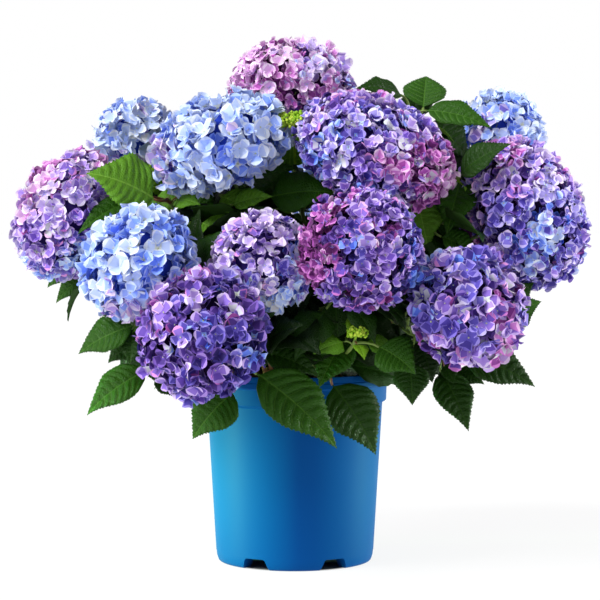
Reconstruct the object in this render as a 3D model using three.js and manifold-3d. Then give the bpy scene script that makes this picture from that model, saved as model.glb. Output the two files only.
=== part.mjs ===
// A bigleaf hydrangea in its nursery pot: woody canes rise from the potting soil, each cane
// carries leafy shoots, and most shoots end in a round head of four-petalled flowers.
// Millimetres, +Z up. The origin is the middle of the pot's flat underside.

import * as THREE from 'three';
import { mergeVertices } from 'three/addons/utils/BufferGeometryUtils.js';
import Module from 'manifold-3d';

const wasm = await Module();
wasm.setup();

// ---------------------------------------------------------------- driving dimensions

const CLEARANCE = 0.3;          // gap that every pair of touching pieces keeps

const POT_HEIGHT = 220;
const LIP_RADIUS = 114;         // outside of the rolled rim
const LIP_HEIGHT = 14;
const COLLAR_RADIUS = 106;      // straight band under the rim
const COLLAR_FOOT = 186;        // height at which the band starts
const SHOULDER_RADIUS = 101;    // top of the tapering wall
const BASE_RADIUS = 91;         // bottom of the tapering wall
const FOOT_RADIUS = 86;         // ring that the pot stands on
const FOOT_WIDTH = 14;
const PAD_RADIUS = 38;          // flat pad in the middle of the underside
const RECESS = 13;              // how far the floor lies above the ground
const WALL = 2.5;
const POT_SIDES = 28;
const NOTCHES = 6;              // drainage notches through the foot
const NOTCH_WIDTH = 35;
const NOTCH_TAPER = 5;          // each side of a notch leans in by this much
const NOTCH_FROM = 60;          // a notch runs from this radius
const NOTCH_LENGTH = 40;
const LUG_REACH = 121;          // grip lugs on the left and right of the rim
const LUG_WIDTH = 72;
const LUG_CORNER = [6, 10];     // its corners are cut off by this much
const LUG_ROOT = 14;            // it starts this far inside the rim

const SOIL_TOP = 190;

const CANE_RING = 52;           // the canes stand on this radius
const CANE_FOOT_RADIUS = 8;
const CANE_RADIUS = 5.2;
const KNUCKLE_RADIUS = 6.6;     // swollen tip where the shoots start
const CANE_REACH = 0.45;        // part of the way to its heads that a cane covers
const CANE_TAPER = 0.15;
const CANE_END = 0.2;           // part of a cane that its foot flare, and its knuckle, take up
const LIMB_HANDLE = 0.36;       // how long a limb keeps the way of its ends
const SHOOT_SPREAD = 3.7;       // shoots start this far from the middle of the knuckle
const SHOOT_STEPS = 6;
const SHOOT_RADIUS = 2.3;
const SHOOT_TIP_RADIUS = 1.8;
const STALK = 12;               // flower stalk that shows under a head
const HEAD_LEAN = 72;           // degrees that the outermost heads lean out
const CROWN_RADIUS = 300;

const FLORET_AREA = 3000;       // share of a head's surface for each flower, mm2
const FLORET_RADIUS = 22;
const FLORET_DEPTH = 24;
const FLORET_HOLLOW = 5;
const CORE_INSET = 12;          // the flowers stand out of the core by this much
const STALK_IN = 0.6;           // part of the core's half thickness at which the stalk ends
const HEAD_COVER = 118;         // degrees from the top of a head that flowers reach
const COVERED = 0.6;            // part of a head's surface that they cover
const CORE_SIDES = 7;

const LEAF_THICKNESS = 2.4;
const LEAF_ARCH = 0.07;         // how far the midrib bows, as a part of the length
const LEAF_FOLD = 0.22;         // rise of the edges above the midrib
const PETIOLE_RADIUS = 1.6;
const BLADE_RINGS = [0.24, 0.54, 0.82];  // places along a blade that shape its outline
const LEAF_GAP = 0.5;           // room that a leaf needs all round it

// ---------------------------------------------------------------- where things grow

// Each cane: the compass direction of its foot in degrees, and the shoots that it carries.
const CANES = [
  { way: 176, shoots: ['01', '02'] },
  { way: 222, shoots: ['03', '08', '23'] },
  { way: 255, shoots: ['09', '11'] },
  { way: 295, shoots: ['05', '10'] },
  { way: 333, shoots: ['07', '24', '12'] },
  { way: 24, shoots: ['06', '15', '25'] },
  { way: 72, shoots: ['04', '14', '17'] },
  { way: 132, shoots: ['13', '16'] },
];

// Each head of flowers: centre, radius across its axis, half its thickness, colour.
const HEADS = {
  '01': { centre: [-254, -46, 400], radius: 75, half: 57, colour: 0x9a7fc0 },
  '02': { centre: [-194, 85, 488], radius: 50, half: 41, colour: 0x8fa3e6 },
  '03': { centre: [-84, -66, 479], radius: 79, half: 52, colour: 0x9db8ee },
  '04': { centre: [-4, 62, 547], radius: 72, half: 54, colour: 0xb27ac4 },
  '05': { centre: [91, -66, 471], radius: 92, half: 56, colour: 0x9a7cc8 },
  '06': { centre: [245, 100, 492], radius: 53, half: 50, colour: 0x88a6ea },
  '07': { centre: [262, -12, 401], radius: 88, half: 66, colour: 0x7f73c4 },
  '08': { centre: [-168, -170, 349], radius: 65, half: 54, colour: 0x96a8ea },
  '09': { centre: [-33, -166, 349], radius: 55, half: 53, colour: 0x9288d4 },
  '10': { centre: [70, -222, 366], radius: 64, half: 63, colour: 0x8461a8 },
  '11': { centre: [-96, -240, 278], radius: 70, half: 52, colour: 0x7560aa },
  '12': { centre: [185, -190, 303], radius: 65, half: 56, colour: 0x8478bc },
  '13': { centre: [-205, 150, 362], radius: 66, half: 50, colour: 0x8b7cc6 },
  '14': { centre: [62, 205, 432], radius: 76, half: 54, colour: 0x9cb0ea },
  '15': { centre: [226, 160, 362], radius: 68, half: 52, colour: 0x8d74bc },
  '16': { centre: [-88, 238, 300], radius: 70, half: 52, colour: 0x93a2e2 },
  '17': { centre: [98, 248, 282], radius: 68, half: 52, colour: 0x7d68b2 },
};

// Shoots with no head: tip, and the way that it points. Those with a foot rise from the soil.
const LEAFY_SHOOTS = {
  '18': { foot: [-66, -22], tip: [-192, -128, 282], lean: [-0.7, -0.45, 0.55] },
  '19': { foot: [70, -12], tip: [192, -84, 262], lean: [0.75, -0.35, 0.5] },
  '20': { foot: [18, -68], tip: [66, -158, 266], lean: [0.25, -0.6, 0.75] },
  '21': { foot: [-64, 34], tip: [-150, 170, 250], lean: [-0.55, 0.6, 0.5] },
  '22': { foot: [56, 56], tip: [168, 176, 246], lean: [0.55, 0.6, 0.5] },
  '23': { tip: [-142, -62, 420], lean: [-0.3, -0.25, 0.9] },
  '24': { tip: [180, -42, 440], lean: [0.3, -0.25, 0.9] },
  '25': { tip: [138, 24, 512], lean: [0.2, -0.2, 0.95] },
};

// Leaves set by hand on the front of the plant, each from the nearest shoot: base, tip, width.
const SET_LEAVES = [
  // upper left, round the first two heads
  [[-154, -92, 416], [-226, -112, 448], 78],
  [[-147, 12, 420], [-171, -2, 458], 32],
  [[-122, -44, 424], [-165, -40, 401], 30],
  [[-176, -88, 416], [-236, -132, 384], 32],
  [[-256, 20, 340], [-288, 22, 314], 24],
  [[-240, 10, 330], [-277, 10, 297], 26],
  // shaded, between the middle heads
  [[-188, 40, 422], [-246, 42, 426], 50],
  [[-124, -22, 396], [-98, -32, 362], 40],
  [[-70, -4, 412], [-44, -10, 380], 42],
  [[-105, -80, 391], [-65, -92, 369], 42],
  [[-84, -60, 420], [-45, -76, 400], 38],
  [[-18, -50, 406], [27, -66, 424], 38],
  [[-70, -76, 410], [-25, -90, 421], 30],
  [[-135, 10, 425], [-85, -5, 388], 46],
  [[-60, 20, 430], [0, 10, 455], 46],
  [[-124, 4, 446], [-56, -2, 430], 46],
  [[-6, 30, 452], [-4, 14, 497], 46],
  [[-8, 26, 462], [-28, -2, 500], 36],
  [[135, -40, 425], [150, -60, 362], 54],
  [[150, 12, 398], [168, -8, 345], 50],
  [[-40, -100, 296], [10, -122, 284], 44],
  [[-50, -120, 300], [-30, -130, 262], 40],
  // upper right, between the heads
  [[124, 22, 536], [71, -20, 544], 34],
  [[124, 40, 508], [62, 38, 530], 54],
  [[140, 34, 508], [140, 44, 546], 40],
  [[154, 34, 506], [206, 42, 462], 48],
  [[148, 14, 520], [153, 44, 560], 50],
  [[149, 4, 518], [224, -16, 500], 38],
  [[184, -66, 442], [236, -98, 480], 40],
  [[190, -20, 440], [170, -78, 380], 50],
  [[180, 12, 450], [206, 30, 412], 42],
  [[163, -64, 375], [207, -64, 353], 36],
  // low on the left
  [[-172, -152, 281], [-236, -146, 251], 46],
  [[-176, -118, 288], [-212, -128, 292], 30],
  [[-174, -150, 278], [-178, -168, 240], 30],
  [[-161, -104, 229], [-231, -112, 182], 46],
  [[-152, -86, 226], [-120, -104, 194], 38],
  [[-158, -74, 248], [-150, -78, 208], 36],
  [[-170, -120, 262], [-205, -130, 240], 34],
  // hanging over the front of the pot
  [[-64, -176, 212], [-110, -188, 163], 58],
  [[14, -112, 288], [-14, -128, 238], 50],
  [[-35, -160, 253], [27, -176, 230], 38],
  [[-43, -188, 233], [46, -206, 156], 66],
  [[40, -132, 216], [90, -150, 142], 62],
  [[56, -120, 266], [27, -150, 215], 48],
  [[90, -166, 259], [130, -184, 233], 54],
  [[126, -136, 239], [128, -156, 195], 40],
  [[138, -104, 262], [152, -118, 216], 40],
  // low on the right
  [[236, -80, 280], [273, -92, 304], 46],
  [[236, -50, 288], [268, -56, 324], 38],
  [[184, -86, 244], [268, -92, 211], 54],
  [[150, -58, 252], [174, -66, 214], 42],
  [[162, -90, 227], [192, -122, 164], 44],
  [[166, -92, 232], [178, -104, 212], 18],
  [[180, -76, 223], [212, -84, 212], 26],
];

// Clusters of unopened buds: shoot, place along it, middle, radius.
const BUDS = [
  ['04', 0.82, [-2, -36, 506], 9],
  ['20', 1.00, [68, -164, 273], 9],
  ['18', 1.00, [-197, -131, 287], 6],
  ['19', 1.00, [197, -86, 267], 5],
];

// Pairs of leaves grown by rule: place along the shoot and length of the blade.
const PAIRS = [[0.34, 74], [0.6, 92], [0.86, 96]];
const PETIOLE = 26;
const LEAF_SLENDER = 0.62;      // width of a blade over its length
const SIZES = [0.84, 1.16];     // smallest and largest leaf, as parts of that length
const DROOPS = [0.1, 0.6];      // least and most that a blade hangs
const PAIR_TURN = 0.9;          // most that a pair is turned on beyond its quarter turn
const PETIOLE_RISE = 0.55;      // how far petiole and blade follow the shoot
const BLADE_RISE = 0.3;
const OUTWARDS = 0.85;          // shares of outwards and up in the way that a leaf faces
const UPWARDS = 0.6;
const ROOT_STEPS = 40;          // places on a shoot where a leaf set by hand can start
const BUD_ROOT = 0.97;          // highest of them for a cluster of buds

// No grown leaf hangs below the hem, which is higher in front: the leaves there are set by hand.
const HEM = 170;
const FRONT_HEM = 240;
const FRONT = -60;

// ---------------------------------------------------------------- helpers

const UP = new THREE.Vector3(0, 0, 1);
const FRONT_LIGHT = new THREE.Vector3(0, -0.76, 0.65);  // way that the leaves set by hand face

function at(point) {
  return new THREE.Vector3(...point);
}

function mix(a, b, part) {
  return a.clone().lerp(b, part);
}

// Repeatable numbers from 0 to 1.
function dice(seed) {
  let state = seed;
  return () => {
    state = (state * 1664525 + 1013904223) % 4294967296;
    return state / 4294967296;
  };
}

function solidOf(geometry) {
  geometry.deleteAttribute('normal');
  geometry.deleteAttribute('uv');
  const merged = mergeVertices(geometry, 1e-4);
  return new wasm.Manifold(new wasm.Mesh({
    numProp: 3,
    vertProperties: new Float32Array(merged.attributes.position.array),
    triVerts: new Uint32Array(merged.index.array),
  }));
}

function geometryOf(solid) {
  const mesh = solid.getMesh();
  const geometry = new THREE.BufferGeometry();
  geometry.setAttribute('position', new THREE.BufferAttribute(mesh.vertProperties, 3));
  geometry.setIndex(new THREE.BufferAttribute(mesh.triVerts, 1));
  return geometry;
}

function bend(geometry, place) {
  const points = geometry.attributes.position;
  const point = new THREE.Vector3();
  for (let i = 0; i < points.count; i++) {
    point.fromBufferAttribute(points, i);
    const moved = place(point);
    points.setXYZ(i, moved.x, moved.y, moved.z);
  }
  return geometry;
}

function latheSolid(profile, sides) {
  const geometry = new THREE.LatheGeometry(profile.map((p) => new THREE.Vector2(...p)), sides);
  return solidOf(geometry.rotateX(Math.PI / 2));
}

// A round limb along a curve; radius gives its size from the foot (0) to the tip (1).
function limb(curve, radius, sides, steps) {
  const chord = curve.getPoint(1).sub(curve.getPoint(0));
  const across = new THREE.Vector3().crossVectors(UP, chord);
  if (across.length() < 1) across.set(1, 0, 0);
  across.normalize();
  const geometry = new THREE.CylinderGeometry(1, 1, 1, sides, steps);
  return bend(geometry, (p) => {
    const part = p.y + 0.5;
    const tangent = curve.getTangent(part);
    const ahead = new THREE.Vector3().crossVectors(across, tangent).normalize();
    const beside = new THREE.Vector3().crossVectors(tangent, ahead);
    const size = radius(part);
    return curve.getPoint(part).addScaledVector(ahead, p.x * size).addScaledVector(beside, -p.z * size);
  });
}

function limbCurve(foot, footWay, tip, tipWay) {
  const handle = LIMB_HANDLE * foot.distanceTo(tip);
  return new THREE.CubicBezierCurve3(
    foot,
    foot.clone().addScaledVector(footWay, handle),
    tip.clone().addScaledVector(tipWay, -handle),
    tip,
  );
}

// ---------------------------------------------------------------- pot

function potSolid() {
  const floor = RECESS + WALL;
  const ringInner = FOOT_RADIUS - FOOT_WIDTH;
  const lipFoot = POT_HEIGHT - LIP_HEIGHT;
  const profile = [
    [0, 0],
    [PAD_RADIUS, 0],
    [PAD_RADIUS + 2, RECESS],
    [ringInner - 2, RECESS],
    [ringInner, 0],
    [FOOT_RADIUS, 0],
    [BASE_RADIUS - 1.5, 4],
    [BASE_RADIUS, 13],
    [SHOULDER_RADIUS, COLLAR_FOOT - 3],
    [COLLAR_RADIUS - 0.5, COLLAR_FOOT],
    [COLLAR_RADIUS, lipFoot - 1.5],
    [LIP_RADIUS, lipFoot],
    [LIP_RADIUS, POT_HEIGHT - 1.5],
    [LIP_RADIUS - 1, POT_HEIGHT],
    [LIP_RADIUS - WALL, POT_HEIGHT],
    [LIP_RADIUS - WALL, lipFoot + WALL],
    [COLLAR_RADIUS - WALL, lipFoot + WALL - 1.5],
    [COLLAR_RADIUS - WALL, COLLAR_FOOT + WALL],
    [SHOULDER_RADIUS - WALL, COLLAR_FOOT],
    [BASE_RADIUS - WALL, floor],
    [0, floor],
  ];
  let pot = latheSolid(profile, POT_SIDES);

  const bore = solidOf(new THREE.CylinderGeometry(
    LIP_RADIUS - WALL / 2, LIP_RADIUS - WALL / 2, 4 * LIP_HEIGHT, POT_SIDES,
  ).rotateX(Math.PI / 2).translate(0, 0, POT_HEIGHT));
  for (const turn of [0, Math.PI]) {
    const half = LUG_WIDTH / 2;
    const [cutIn, cutAlong] = LUG_CORNER;
    const plan = new THREE.Shape([
      new THREE.Vector2(LIP_RADIUS - LUG_ROOT, -half),
      new THREE.Vector2(LUG_REACH - cutIn, -half),
      new THREE.Vector2(LUG_REACH, cutAlong - half),
      new THREE.Vector2(LUG_REACH, half - cutAlong),
      new THREE.Vector2(LUG_REACH - cutIn, half),
      new THREE.Vector2(LIP_RADIUS - LUG_ROOT, half),
    ]);
    const lug = new THREE.ExtrudeGeometry(plan, { depth: LIP_HEIGHT - 2, bevelEnabled: false });
    lug.translate(0, 0, lipFoot + 1).rotateZ(turn);
    pot = pot.add(solidOf(lug).subtract(bore));
  }

  for (let k = 0; k < NOTCHES; k++) {
    const half = NOTCH_WIDTH / 2;
    const opening = new THREE.Shape([
      new THREE.Vector2(-half, -1),
      new THREE.Vector2(half, -1),
      new THREE.Vector2(half - NOTCH_TAPER, RECESS - 0.5),
      new THREE.Vector2(NOTCH_TAPER - half, RECESS - 0.5),
    ]);
    const notch = new THREE.ExtrudeGeometry(opening, { depth: NOTCH_LENGTH, bevelEnabled: false });
    notch.rotateX(Math.PI / 2).translate(0, -NOTCH_FROM, 0).rotateZ((k + 0.5) * 2 * Math.PI / NOTCHES);
    pot = pot.subtract(solidOf(notch));
  }
  return pot;
}

function soilSolid() {
  const floor = RECESS + WALL;
  const taper = (SHOULDER_RADIUS - BASE_RADIUS) / (COLLAR_FOOT - floor);
  const gap = 2 * CLEARANCE;
  return latheSolid([
    [0, floor + CLEARANCE],
    [BASE_RADIUS - WALL - gap, floor + CLEARANCE],
    [SHOULDER_RADIUS - WALL - gap, COLLAR_FOOT],
    [SHOULDER_RADIUS - WALL - gap + taper * (SOIL_TOP - COLLAR_FOOT), SOIL_TOP],
    [0, SOIL_TOP],
  ], POT_SIDES);
}

// ---------------------------------------------------------------- canes and shoots

// A head leans out more the further it stands from the middle of the plant.
function headAxis(head) {
  const [x, y] = head.centre;
  const out = Math.hypot(x, y);
  const lean = THREE.MathUtils.degToRad(HEAD_LEAN * Math.min(1, out / CROWN_RADIUS));
  return new THREE.Vector3(x / out * Math.sin(lean), y / out * Math.sin(lean), Math.cos(lean));
}

// Lower end of a head's stalk.
function headFoot(head) {
  return at(head.centre).addScaledVector(headAxis(head), -(head.half + STALK));
}

function shootEnd(name) {
  if (name in HEADS) {
    const way = headAxis(HEADS[name]);
    return { tip: headFoot(HEADS[name]).addScaledVector(way, -CLEARANCE), way };
  }
  const { tip, lean } = LEAFY_SHOOTS[name];
  return { tip: at(tip), way: at(lean).normalize() };
}

function caneCurve(cane) {
  const way = THREE.MathUtils.degToRad(cane.way);
  const foot = new THREE.Vector3(
    CANE_RING * Math.cos(way), CANE_RING * Math.sin(way), SOIL_TOP + CLEARANCE,
  );
  const middle = new THREE.Vector3();
  for (const name of cane.shoots) middle.addScaledVector(shootEnd(name).tip, 1 / cane.shoots.length);
  const tip = mix(foot, middle, CANE_REACH);
  const lean = middle.clone().sub(foot).normalize().add(UP).normalize();
  return limbCurve(foot, UP, tip, lean);
}

function caneRadius(part) {
  const flare = (CANE_FOOT_RADIUS - CANE_RADIUS) * Math.max(0, 1 - part / CANE_END);
  const thin = CANE_RADIUS * (1 - CANE_TAPER);
  const knuckle = (KNUCKLE_RADIUS - thin) * Math.max(0, 1 - (1 - part) / CANE_END);
  return CANE_RADIUS * (1 - CANE_TAPER * part) + flare + knuckle;
}

// The shoots of a cane start side by side on its knuckle.
function shootCurve(cane, index) {
  const curve = caneCurve(cane);
  const knuckle = curve.getPoint(1);
  const lean = curve.getTangent(1);
  const side = shootEnd(cane.shoots[0]).tip.sub(knuckle);
  side.addScaledVector(lean, -side.dot(lean)).normalize();
  side.applyAxisAngle(lean, 2 * Math.PI * index / cane.shoots.length);
  const start = knuckle.addScaledVector(lean, CLEARANCE).addScaledVector(side, SHOOT_SPREAD);
  const end = shootEnd(cane.shoots[index]);
  return limbCurve(start, lean, end.tip, end.way);
}

function lowShootCurve(name) {
  const foot = new THREE.Vector3(...LEAFY_SHOOTS[name].foot, SOIL_TOP + CLEARANCE);
  const end = shootEnd(name);
  return limbCurve(foot, UP, end.tip, end.way);
}

// Middle of a shoot as it is drawn, in straight steps.
function shootPoint(curve, place) {
  const step = Math.min(Math.floor(place * SHOOT_STEPS), SHOOT_STEPS - 1);
  const low = curve.getPoint(step / SHOOT_STEPS);
  return low.lerp(curve.getPoint((step + 1) / SHOOT_STEPS), place * SHOOT_STEPS - step);
}

function shootRadius(part) {
  return SHOOT_RADIUS + (SHOOT_TIP_RADIUS - SHOOT_RADIUS) * part;
}

// ---------------------------------------------------------------- leaves

// Upper side of a leaf: square to its midrib, and as near as that allows to the way it seeks.
function leafFace(base, tip, sought) {
  const way = tip.clone().sub(base).normalize();
  return sought.clone().addScaledVector(way, -sought.dot(way)).normalize();
}

// Leaves grown by rule seek the light above and outside the plant.
function outward(base, tip) {
  const middle = mix(base, tip, 0.5);
  return new THREE.Vector3(middle.x, middle.y, 0)
    .setLength(OUTWARDS)
    .addScaledVector(UP, UPWARDS);
}

// Half the width of a blade at a place along it, for a full width of 2.
function bladeOutline(along) {
  return Math.sin(Math.PI * along ** 0.75);
}

// A point of the blade: along it from 0 to 1, across from -1 to 1, lifted off the middle layer.
function bladePoint(leaf, along, across, lift) {
  const way = leaf.tip.clone().sub(leaf.base);
  const length = way.length();
  const side = new THREE.Vector3().crossVectors(leaf.face, way).normalize();
  const half = leaf.width / 2 * bladeOutline(along);
  const bow = 4 * LEAF_ARCH * length * along * (1 - along);
  return leaf.base.clone()
    .addScaledVector(way, along)
    .addScaledVector(side, across * half)
    .addScaledVector(leaf.face, bow + LEAF_FOLD * Math.abs(across) * half + lift);
}

// Petiole and blade in one; grow thickens them for the test of whether they fit.
// The rings run from the root of the petiole, through the base of the blade, to its tip.
function leafSolid(leaf, grow) {
  const wide = { ...leaf, width: leaf.width + 2 * grow };
  const start = mix(leaf.root, leaf.base, grow > 0 ? 0.35 : 0);
  const rings = [null, null, ...BLADE_RINGS];
  const petioleWay = leaf.base.clone().sub(leaf.root).normalize();
  const petioleSide = new THREE.Vector3().crossVectors(leaf.face, leaf.tip.clone().sub(leaf.base));
  petioleSide.addScaledVector(petioleWay, -petioleSide.dot(petioleWay)).normalize();
  const petioleFace = new THREE.Vector3().crossVectors(petioleWay, petioleSide);
  const leafShape = new THREE.SphereGeometry(1, 4, rings.length + 1);
  return solidOf(bend(leafShape, (p) => {
    const ring = Math.round(Math.acos(THREE.MathUtils.clamp(p.y, -1, 1)) / Math.PI * (rings.length + 1));
    const round = Math.hypot(p.x, p.z) || 1;
    const across = p.x / round;
    const lift = p.z / round;
    if (ring === 0) return start.clone().addScaledVector(petioleWay, -1);
    if (ring > rings.length) return leaf.tip.clone();
    if (ring > 2) return bladePoint(wide, rings[ring - 1], across, lift * (LEAF_THICKNESS / 2 + grow));
    const reach = ring === 1 ? start : leaf.base;
    return reach.clone().addScaledVector(petioleSide, across * (PETIOLE_RADIUS + grow))
      .addScaledVector(petioleFace, lift * (PETIOLE_RADIUS + grow));
  }));
}

// The point of all the shoots that lies nearest, short of their tips.
function nearestShoot(point) {
  let best = { gap: Infinity };
  for (const name of Object.keys(shoots).sort()) {
    for (let step = 2; step <= ROOT_STEPS - 2; step++) {
      const root = shootPoint(shoots[name].curve, step / ROOT_STEPS);
      const gap = root.distanceTo(point);
      if (gap < best.gap) best = { name, root, gap };
    }
  }
  return best;
}

function setLeaves(name) {
  return SET_LEAVES.map(([base, tip, width]) => {
    const near = nearestShoot(at(base));
    return { shoot: near.name, root: near.root, base: at(base), tip: at(tip), width };
  }).filter((leaf) => leaf.shoot === name).map((leaf) => ({
    ...leaf, face: leafFace(leaf.base, leaf.tip, FRONT_LIGHT),
  }));
}

// Opposite pairs, each pair turned a quarter from the one below it.
function grownLeaves(name, curve) {
  const draw = dice(7919 * Number(name));
  const leaves = [];
  PAIRS.forEach(([place, size], pair) => {
    const root = shootPoint(curve, place);
    const tangent = curve.getTangent(place);
    const ahead = new THREE.Vector3(0.31, 0.17, 0.94).cross(tangent).normalize();
    const turn = pair * Math.PI / 2 + draw() * PAIR_TURN;
    for (const half of [0, Math.PI]) {
      const out = ahead.clone().applyAxisAngle(tangent, turn + half);
      const length = size * THREE.MathUtils.lerp(...SIZES, draw());
      const droop = THREE.MathUtils.lerp(...DROOPS, draw());
      const rise = out.clone().addScaledVector(tangent, PETIOLE_RISE).normalize();
      const base = root.clone().addScaledVector(rise, PETIOLE);
      const way = out.addScaledVector(tangent, BLADE_RISE).addScaledVector(UP, -droop).normalize();
      const tip = base.clone().addScaledVector(way, length);
      if (tip.z < (tip.y < FRONT ? FRONT_HEM : HEM)) continue;
      const face = leafFace(base, tip, outward(base, tip));
      leaves.push({ root, base, tip, width: length * LEAF_SLENDER, face });
    }
  });
  return leaves;
}

function budSolid(curve, [, place, middle, radius]) {
  const root = shootPoint(curve, Math.min(place, BUD_ROOT));
  const centre = at(middle);
  const twig = new THREE.CylinderGeometry(1.4, 1.8, root.distanceTo(centre), 3);
  twig.applyQuaternion(new THREE.Quaternion().setFromUnitVectors(
    new THREE.Vector3(0, 1, 0), centre.clone().sub(root).normalize(),
  ));
  twig.translate(...mix(root, centre, 0.5).toArray());
  return solidOf(twig).add(solidOf(new THREE.IcosahedronGeometry(radius, 0).translate(...middle)));
}

// ---------------------------------------------------------------- flower heads

// One flower: a shallow dish of four petals whose point is sunk into the head.
function floretSolid(point, outward, turn, radius) {
  const flower = new THREE.ConeGeometry(radius, FLORET_DEPTH, 4);
  flower.rotateX(-Math.PI / 2);
  bend(flower, (p) => {
    const middleOfTop = Math.hypot(p.x, p.y) < 1e-6 && p.z > 0;
    return middleOfTop ? p.clone().setZ(p.z - FLORET_HOLLOW) : p.clone();
  });
  flower.rotateZ(turn);
  flower.applyQuaternion(new THREE.Quaternion().setFromUnitVectors(UP, outward));
  flower.translate(...point.clone().addScaledVector(outward, -FLORET_DEPTH / 2).toArray());
  return solidOf(flower);
}

// A flattened ball of flowers in a golden-angle spiral, open underneath where its stalk comes in.
function headSolid(name, fits) {
  const head = HEADS[name];
  const axis = headAxis(head);
  const upright = new THREE.Quaternion().setFromUnitVectors(UP, axis);
  const place = (geometry) => geometry.applyQuaternion(upright).translate(...head.centre);

  const inner = [head.radius - CORE_INSET, head.half - CORE_INSET];
  const core = new THREE.SphereGeometry(1, CORE_SIDES, CORE_SIDES - 2).rotateX(Math.PI / 2);
  core.scale(inner[0], inner[0], inner[1]);
  let solid = solidOf(place(core));

  const stalkTop = -inner[1] * STALK_IN;
  const stalkFoot = -(head.half + STALK);
  const stalk = new THREE.CylinderGeometry(SHOOT_TIP_RADIUS, SHOOT_TIP_RADIUS, stalkTop - stalkFoot, 5);
  stalk.rotateX(Math.PI / 2).translate(0, 0, (stalkTop + stalkFoot) / 2);
  solid = solid.add(solidOf(place(stalk)));

  const draw = dice(104729 + 31 * Number(name));
  const surface = 2 * Math.PI * head.radius * (head.radius + head.half);
  const count = Math.round(surface * COVERED / FLORET_AREA);
  const cover = 1 - Math.cos(THREE.MathUtils.degToRad(HEAD_COVER));
  for (let k = 0; k < count; k++) {
    const polar = Math.acos(1 - (k + 0.5) / count * cover);
    const round = k * Math.PI * (3 - Math.sqrt(5));
    const point = new THREE.Vector3(
      head.radius * Math.sin(polar) * Math.cos(round),
      head.radius * Math.sin(polar) * Math.sin(round),
      head.half * Math.cos(polar),
    );
    const outward = new THREE.Vector3(
      point.x / head.radius ** 2, point.y / head.radius ** 2, point.z / head.half ** 2,
    ).normalize().applyQuaternion(upright);
    point.applyQuaternion(upright).add(at(head.centre));
    const flower = floretSolid(point, outward, draw() * Math.PI, FLORET_RADIUS * (0.9 + 0.2 * draw()));
    if (fits(flower)) solid = solid.add(flower);
  }
  return solid;
}

// ---------------------------------------------------------------- assembly

const plant = new THREE.Group();
const placed = [];

function addNode(name, solid, colour, roughness) {
  const material = new THREE.MeshStandardMaterial({ color: colour, roughness, metalness: 0 });
  const mesh = new THREE.Mesh(geometryOf(solid), material);
  mesh.name = name;
  plant.add(mesh);
}

function boxesMeet(a, b) {
  const one = a.boundingBox();
  const two = b.boundingBox();
  return [0, 1, 2].every((i) => one.min[i] <= two.max[i] && two.min[i] <= one.max[i]);
}

function touches(solid, except) {
  return placed.some((other) => other.name !== except
    && boxesMeet(solid, other.solid) && !solid.intersect(other.solid).isEmpty());
}

function put(name, solid) {
  placed.push({ name, solid });
  return solid;
}

addNode('pot', put('pot', potSolid()), 0x0a6fbe, 0.45);
addNode('potting_soil', put('potting_soil', soilSolid()), 0x3a2a20, 0.95);

// Canes, and the bare shoots that grow from them or from the soil.
const shoots = {};
CANES.forEach((cane, k) => {
  const wood = put(`cane_${k + 1}`, solidOf(limb(caneCurve(cane), caneRadius, 7, 5)));
  addNode(`cane_${k + 1}`, wood, 0x6f5138, 0.9);
  cane.shoots.forEach((name, index) => {
    shoots[name] = { curve: shootCurve(cane, index) };
  });
});
for (const [name, shoot] of Object.entries(LEAFY_SHOOTS)) {
  if (shoot.foot) shoots[name] = { curve: lowShootCurve(name) };
}
for (const [name, shoot] of Object.entries(shoots)) {
  shoot.solid = put(`leaf_spray_${name}`, solidOf(limb(shoot.curve, shootRadius, 4, SHOOT_STEPS)));
}

// Heads come before leaves, and a flower that would touch another head is left out.
for (const name of Object.keys(HEADS).sort()) {
  const solid = headSolid(name, (flower) => !touches(flower, `flower_head_${name}`));
  put(`flower_head_${name}`, solid);
  addNode(`flower_head_${name}`, solid, HEADS[name].colour, 0.8);
}

// Leaves: those set by hand, then the pairs grown by rule. One that would touch another
// piece is left out.
const names = Object.keys(shoots).sort();
for (const leavesOf of [setLeaves, grownLeaves]) {
  for (const name of names) {
    const shoot = shoots[name];
    for (const leaf of leavesOf(name, shoot.curve)) {
      const loose = leafSolid(leaf, LEAF_GAP);
      if (touches(loose, `leaf_spray_${name}`)) continue;
      const solid = leafSolid(leaf, 0);
      put(`leaf_spray_${name}`, solid);
      shoot.solid = shoot.solid.add(solid);
    }
  }
}
for (const row of BUDS) {
  const shoot = shoots[row[0]];
  shoot.solid = shoot.solid.add(budSolid(shoot.curve, row));
}
for (const name of names) addNode(`leaf_spray_${name}`, shoots[name].solid, 0x4c7a32, 0.7);

export default plant;
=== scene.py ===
import math
import random

import bmesh
import bpy
import numpy as np
from mathutils import Matrix, Vector, noise


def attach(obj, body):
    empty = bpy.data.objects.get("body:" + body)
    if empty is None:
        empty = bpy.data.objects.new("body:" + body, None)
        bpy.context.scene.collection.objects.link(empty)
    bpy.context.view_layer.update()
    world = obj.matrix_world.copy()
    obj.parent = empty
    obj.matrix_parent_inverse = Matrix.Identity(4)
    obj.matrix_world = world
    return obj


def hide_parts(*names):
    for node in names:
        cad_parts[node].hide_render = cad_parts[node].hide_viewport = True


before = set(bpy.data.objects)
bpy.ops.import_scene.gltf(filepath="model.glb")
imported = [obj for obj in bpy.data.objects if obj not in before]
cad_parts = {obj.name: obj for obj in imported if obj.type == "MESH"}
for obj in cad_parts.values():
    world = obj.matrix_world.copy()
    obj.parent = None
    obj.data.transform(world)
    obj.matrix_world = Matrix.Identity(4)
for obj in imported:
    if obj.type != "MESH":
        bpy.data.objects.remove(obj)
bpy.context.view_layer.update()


# ---------------------------------------------------------------- camera, floor and light
# The camera looks slightly down at the plant from its front. The floor glows evenly and is pale,
# but under the pot's foot the glow stops and the floor stays dark, a painted shadow. A bright
# horizon and a broad key light from the upper left light the plant, narrow strips the sides of
# the pot, and a rim light the right edge.

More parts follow.
